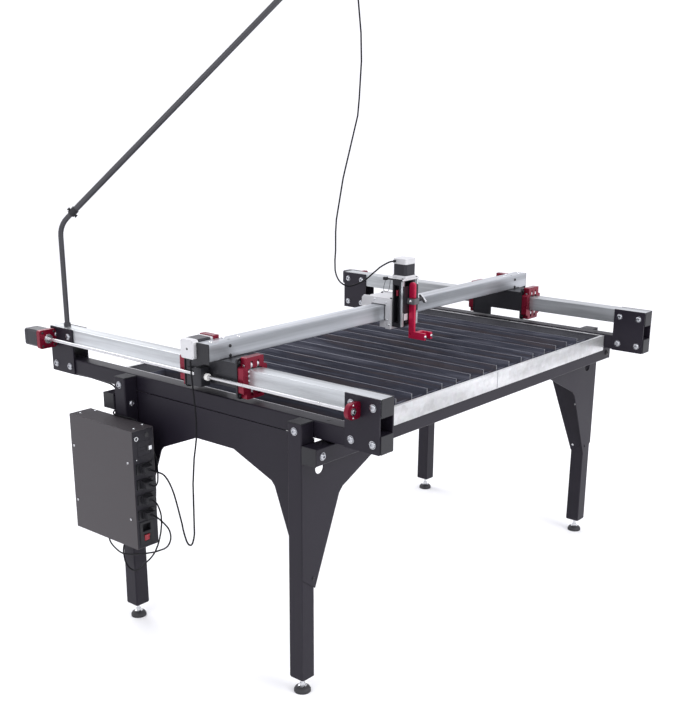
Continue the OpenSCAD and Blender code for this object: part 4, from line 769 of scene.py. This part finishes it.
# Rollers, and the knob that clamps the arm: black hub, bright bar
for nodeName in ("rollers_top_front", "rollers_top_rear", "rollers_bottom_front", "rollers_bottom_rear",
                 "clamp_knob"):
    piece = copyOfNode(nodeName)
    roundEdges(piece, 0.6)
    if nodeName == "clamp_knob":
        repaint(piece, "black_plastic", lambda c, n: c.x < hubEnd)
    joinPieces(camelName(nodeName), [piece], bodyOf[nodeName], [nodeName])

# Tray: bright sheet outside, darker inside, with a lap seam near its middle
trayLook = {"edge": 0.8, "seamX": 11, "insideX": 0.7348, "insideY": 0.4712, "floor": 0.7665, "rim": 0.8205}
tray = copyOfNode("water_tray")
roundEdges(tray, trayLook["edge"])
repaint(tray, "tray_inside", lambda c, n: abs(c.x) < trayLook["insideX"] and abs(c.y) < trayLook["insideY"]
        and trayLook["floor"] < c.z < trayLook["rim"])
seams = [block((trayLook["seamX"] - 0.6, s * 472 - 0.5, 768), (trayLook["seamX"] + 0.9, s * 472 + 0.5, 821),
               "slat_steel", 0.2) for s in (-1, 1)]
joinPieces("sheetTray", [tray] + seams, "frame", ["water_tray"])

# Slats: a painted highlight on their upper edges, and bright cut ends
slatSet = copyOfNode("slats")
# Faces that look up get the painted highlight
repaint(slatSet, "slat_edge", lambda c, n: n.z > 0.9)
repaint(slatSet, "slat_end", lambda c, n: abs(n.y) > 0.9)
roundEdges(slatSet, 0.3)
joinPieces("slatSet", [slatSet], "frame", ["slats"])
combs = copyOfNode("slat_combs")
roundEdges(combs, 0.3)
joinPieces("slatCombs", [combs], "frame", ["slat_combs"])
print("tray and slats built")

# Lifter: open side, silver rails at its front corners, bright top plate
housing = copyOfNode("z_housing")
cutAway(housing, rawBlock((-50, -113, 938), (-24, -91, 1064)))
roundEdges(housing, 0.8)
repaint(housing, "white_cast", lambda c, n: c.z > 1.0786)
lifterParts = [housing, block((-41, -106, 1028), (-27, -97, 1047), "red_anodised", 1),
               block((-56, -66, 1078), (-45, -52, 1088), "black_plastic", 1)]
lifterParts += screwsAt("lifterTop", "dark_screw",
                        [((x, y, 1085), (0, 0, 1)) for x in (-38, 38) for y in (-121, -56)])
joinPieces("lifterHousing", lifterParts, "carriage", ["z_housing"])
railParts = [block((s * 36 - 4.5 + s * 4, -125, 926), (s * 36 + 4.5 + s * 4, -119.2, 1078), "aluminium", 0.8)
             for s in (-1, 1)]
railParts += [block((s * 31 - 1, -122.5, 926), (s * 31 + 1, -119.2, 1078), "aluminium", 0.4) for s in (-1, 1)]
joinPieces("lifterRails", railParts, "carriage", ["z_rails"])
switchRoute = [(-52, -59, 1079), (-52, -59, 1073), (-56, -58, 1060), (-60, -60, 1046), (-57, -66, 1040),
               (-50, -72, 1044), (-49, -75, 1056), (-49, -77, 1068), (-49, -78, 1078.9)]
makeCord("switchWire", smoothRoute(switchRoute), cordLook["wire"], [], body="carriage")
faceParts = [block((-40, -128, 973), (40, -126.3, 1061), "black_anodised", 0.5),
             block((-36, -127.6, 948), (-16, -127.1, 970), "white_cast", 0.2)]
joinPieces("lifterFace", faceParts, "lifter", slot="black_anodised")
print("lifter built")

# Screws on the carriage, the beam, the fork and the guide
carriageSpots = [((s * 54, y, z), (s, 0, 0)) for s in (-1, 1)
                 for y, z in ((-66, 1004), (-18.6, 1010.3), (-70.6, 945.2), (-78, 930))]
sideScrews = screwsAt("carriageSide", "bright_steel", carriageSpots)
gasket = [block((x - 0.4, -62.5, 943), (x + 0.4, -60.6, 996), "black_plastic", 0.2) for x in (-54, 54)]
gasket += [block((x - 0.4, -62.5, 994.6), (x + 0.4, -9, 996.4), "black_plastic", 0.2) for x in (-54, 54)]
topScrews = screwsAt("carriageTop", "dark_screw",
                     [((x, y, 1014.8), (0, 0, 1)) for x in (-36, 36) for y in (-72, 22)])
joinPieces("carriageScrews", sideScrews + topScrews + gasket, "carriage", slot="bright_steel")
beamScrews = screwsAt("beamFace", "dark_screw",
                      [((s * 769.5, -60, z), (0, -1, 0)) for s in (-1, 1) for z in (978, 950)])
beamSpots = [((s * x, y, 993.8), (0, 0, 1)) for s in (-1, 1) for x, y in ((826, -40), (718, -43), (761.5, -23))]
beamScrews += screwsAt("beamTop", "bright_steel", beamSpots)
joinPieces("beamScrews", beamScrews, "gantry", slot="bright_steel")
forkSpots = [((-7, -195.8, 897.5), (0, -1, 0)), ((27, -195.8, 897.5), (0, -1, 0)),
             ((-20.8, -141.5, 1012), (-1, 0, 0))]
joinPieces("armBolts", screwsAt("arm", "bright_steel", forkSpots), "lifter", slot="bright_steel")
truckSpots = [((s * 761.5 + dx, -129, z), (0, -1, 0)) for s in (-1, 1) for dx in (-40, 40) for z in (849, 946)]
truckScrews = screwsAt("truck", "dark_screw", truckSpots)
sideSpots = [((s * 786.5, -151, z), (0, -1, 0)) for s in (-1, 1) for z in (894, 907, 920)]
sideSpots += [((s * 736.5, 113, z), (0, 1, 0)) for s in (-1, 1) for z in (894, 907, 920)]
truckScrews += screwsAt("truckSide", "bright_steel", sideSpots)
for s in (-1, 1):
    for y in (-129, 88):
        plate = block((s * 761.5 - 51, y, 838), (s * 761.5 + 51, y + 3, 957), "black_plastic", 0.4,
                      along="y", corner=14)
        gap = rawBlock((s * 761.5 - 26, y - 5, 873.5), (s * 761.5 + 26, y + 8, 925.7))
        truckScrews.append(cutAway(plate, gap))
joinPieces("wiperPlates", truckScrews, "gantry", slot="black_plastic")
print("small screws placed")

# Control box: cord plugs with ribbed grips, fittings of its front panel and the screws of its shell
boxLook = {"plugHeights": (573, 523, 474, 424), "plugX": -877.7, "ribs": 3, "ribStep": 4}
plugParts = []
for z in boxLook["plugHeights"]:
    for low, high, edge, corner in (((-910.5, 214.6, z - 15.8), (-847.9, 217.6, z + 15.8), 0.8, 3),
                                    ((-899, 208, z - 12.5), (-856, 215, z + 12.5), 0.9, 4),
                                    ((-894.7, 193.5, z - 11), (-860.7, 214.8, z + 11), 1.2, 3)):
        plugParts.append(block(low, high, "black_plastic", edge, along="y", corner=corner))
    for rib in range(boxLook["ribs"]):
        y = 197 + boxLook["ribStep"] * rib
        plugParts.append(block((-895.2, y, z - 11.5), (-860.2, y + 1.6, z + 11.5), "black_plastic", 0.6,
                               along="y", corner=3))
    x = boxLook["plugX"]
    plugParts.append(rod((x, 194, z), (x, 187.5, z), 5, "black_plastic", 0.6, tip=3.6))
joinPieces("cordPlugs", plugParts, "frame", ["box_plugs"])
panelParts = screwsAt("boxPanel", "bright_steel", [((-907, 217.4, 604.5), (0, -1, 0))])
ring = rod((-906.4, 217.6, 672.6), (-906.4, 213.2, 672.6), 7.5, "bright_steel", 0.8)
cutAway(ring, rod((-906.4, 216, 672.6), (-906.4, 210, 672.6), 4.6, "dark_screw", 0))
panelParts += [ring, rod((-906.4, 217.4, 672.6), (-906.4, 215.4, 672.6), 4.5, "dark_screw", 0),
               rod((-863.5, 217.6, 676.9), (-863.5, 216.6, 676.9), 8.2, "dark_screw", 0.3)]
for low, high in (((-901.5, 216.7, 657), (-850.5, 217.6, 659)), ((-901.5, 216.7, 611), (-850.5, 217.6, 613)),
                  ((-901.5, 216.7, 611), (-899.9, 217.6, 659)), ((-852.1, 216.7, 611), (-850.5, 217.6, 659)),
                  ((-894, 216.7, 640), (-868, 217.6, 641.2)), ((-894, 216.7, 629), (-868, 217.6, 630.2))):
    panelParts.append(block(low, high, "panel_paint", 0.3))
panelParts += [block((-859.5, 214.9, 627), (-847.5, 217.6, 640), "bright_steel", 0.6),
               block((-866, 215.9, 625), (-860.5, 217.6, 641), "dark_screw", 0.4)]
joinPieces("panelFittings", panelParts, "frame", slot="bright_steel")
boxSpots = [((-920.7, y, z), (-1, 0, 0)) for y in (242, 508) for z in (410, 594)]
boxSpots += [((-893.5, 239, 697), (0, 0, 1)), ((-847, 254, 697), (0, 0, 1)), ((-893.5, 500, 697), (0, 0, 1)),
             ((-847, 486, 697), (0, 0, 1))]
joinPieces("boxScrews", screwsAt("box", "bright_steel", boxSpots), "frame", slot="bright_steel")
print("control box fitted")


studioLook = {
    "sky": (0.94, 0.94, 1.0, 1), "skyStrength": 1.18,
    "floor": (0.96, 0.96, 0.96, 1), "floorRough": 0.8, "floorSize": 60,
    "lights": (("keyLight", (0.2, -4.4, 3.0), (0, 0, 0.8), 2.6, 105),
               ("fillLight", (-4.2, -0.6, 3.4), (0, 0, 0.8), 2.4, 30),
               ("backLight", (0.5, 3.6, 3.6), (0, 0, 0.8), 2.6, 70)),
}


def studio():
    world = bpy.data.worlds.new("studio")
    bpy.context.scene.world = world
    world.use_nodes = True
    sky = world.node_tree.nodes["Background"]
    sky.inputs["Color"].default_value = studioLook["sky"]
    sky.inputs["Strength"].default_value = studioLook["skyStrength"]
    for name, place, aim, size, power in studioLook["lights"]:
        data = bpy.data.lights.new(name, "AREA")
        data.size = size
        data.energy = power
        lamp = bpy.data.objects.new(name, data)
        lamp.location = place
        lamp.rotation_euler = (Vector(aim) - Vector(place)).to_track_quat("-Z", "Y").to_euler()
        bpy.context.scene.collection.objects.link(lamp)
    startClean()
    bpy.ops.mesh.primitive_plane_add(size=studioLook["floorSize"], location=(0, 0, 0))
    floor = bpy.context.active_object
    floor.name = "floor"
    paper = bpy.data.materials.new("paleFloor")
    paper.use_nodes = True
    shader = paper.node_tree.nodes["Principled BSDF"]
    shader.inputs["Base Color"].default_value = studioLook["floor"]
    shader.inputs["Roughness"].default_value = studioLook["floorRough"]
    floor.data.materials.append(paper)


studio()
print("studio lit")
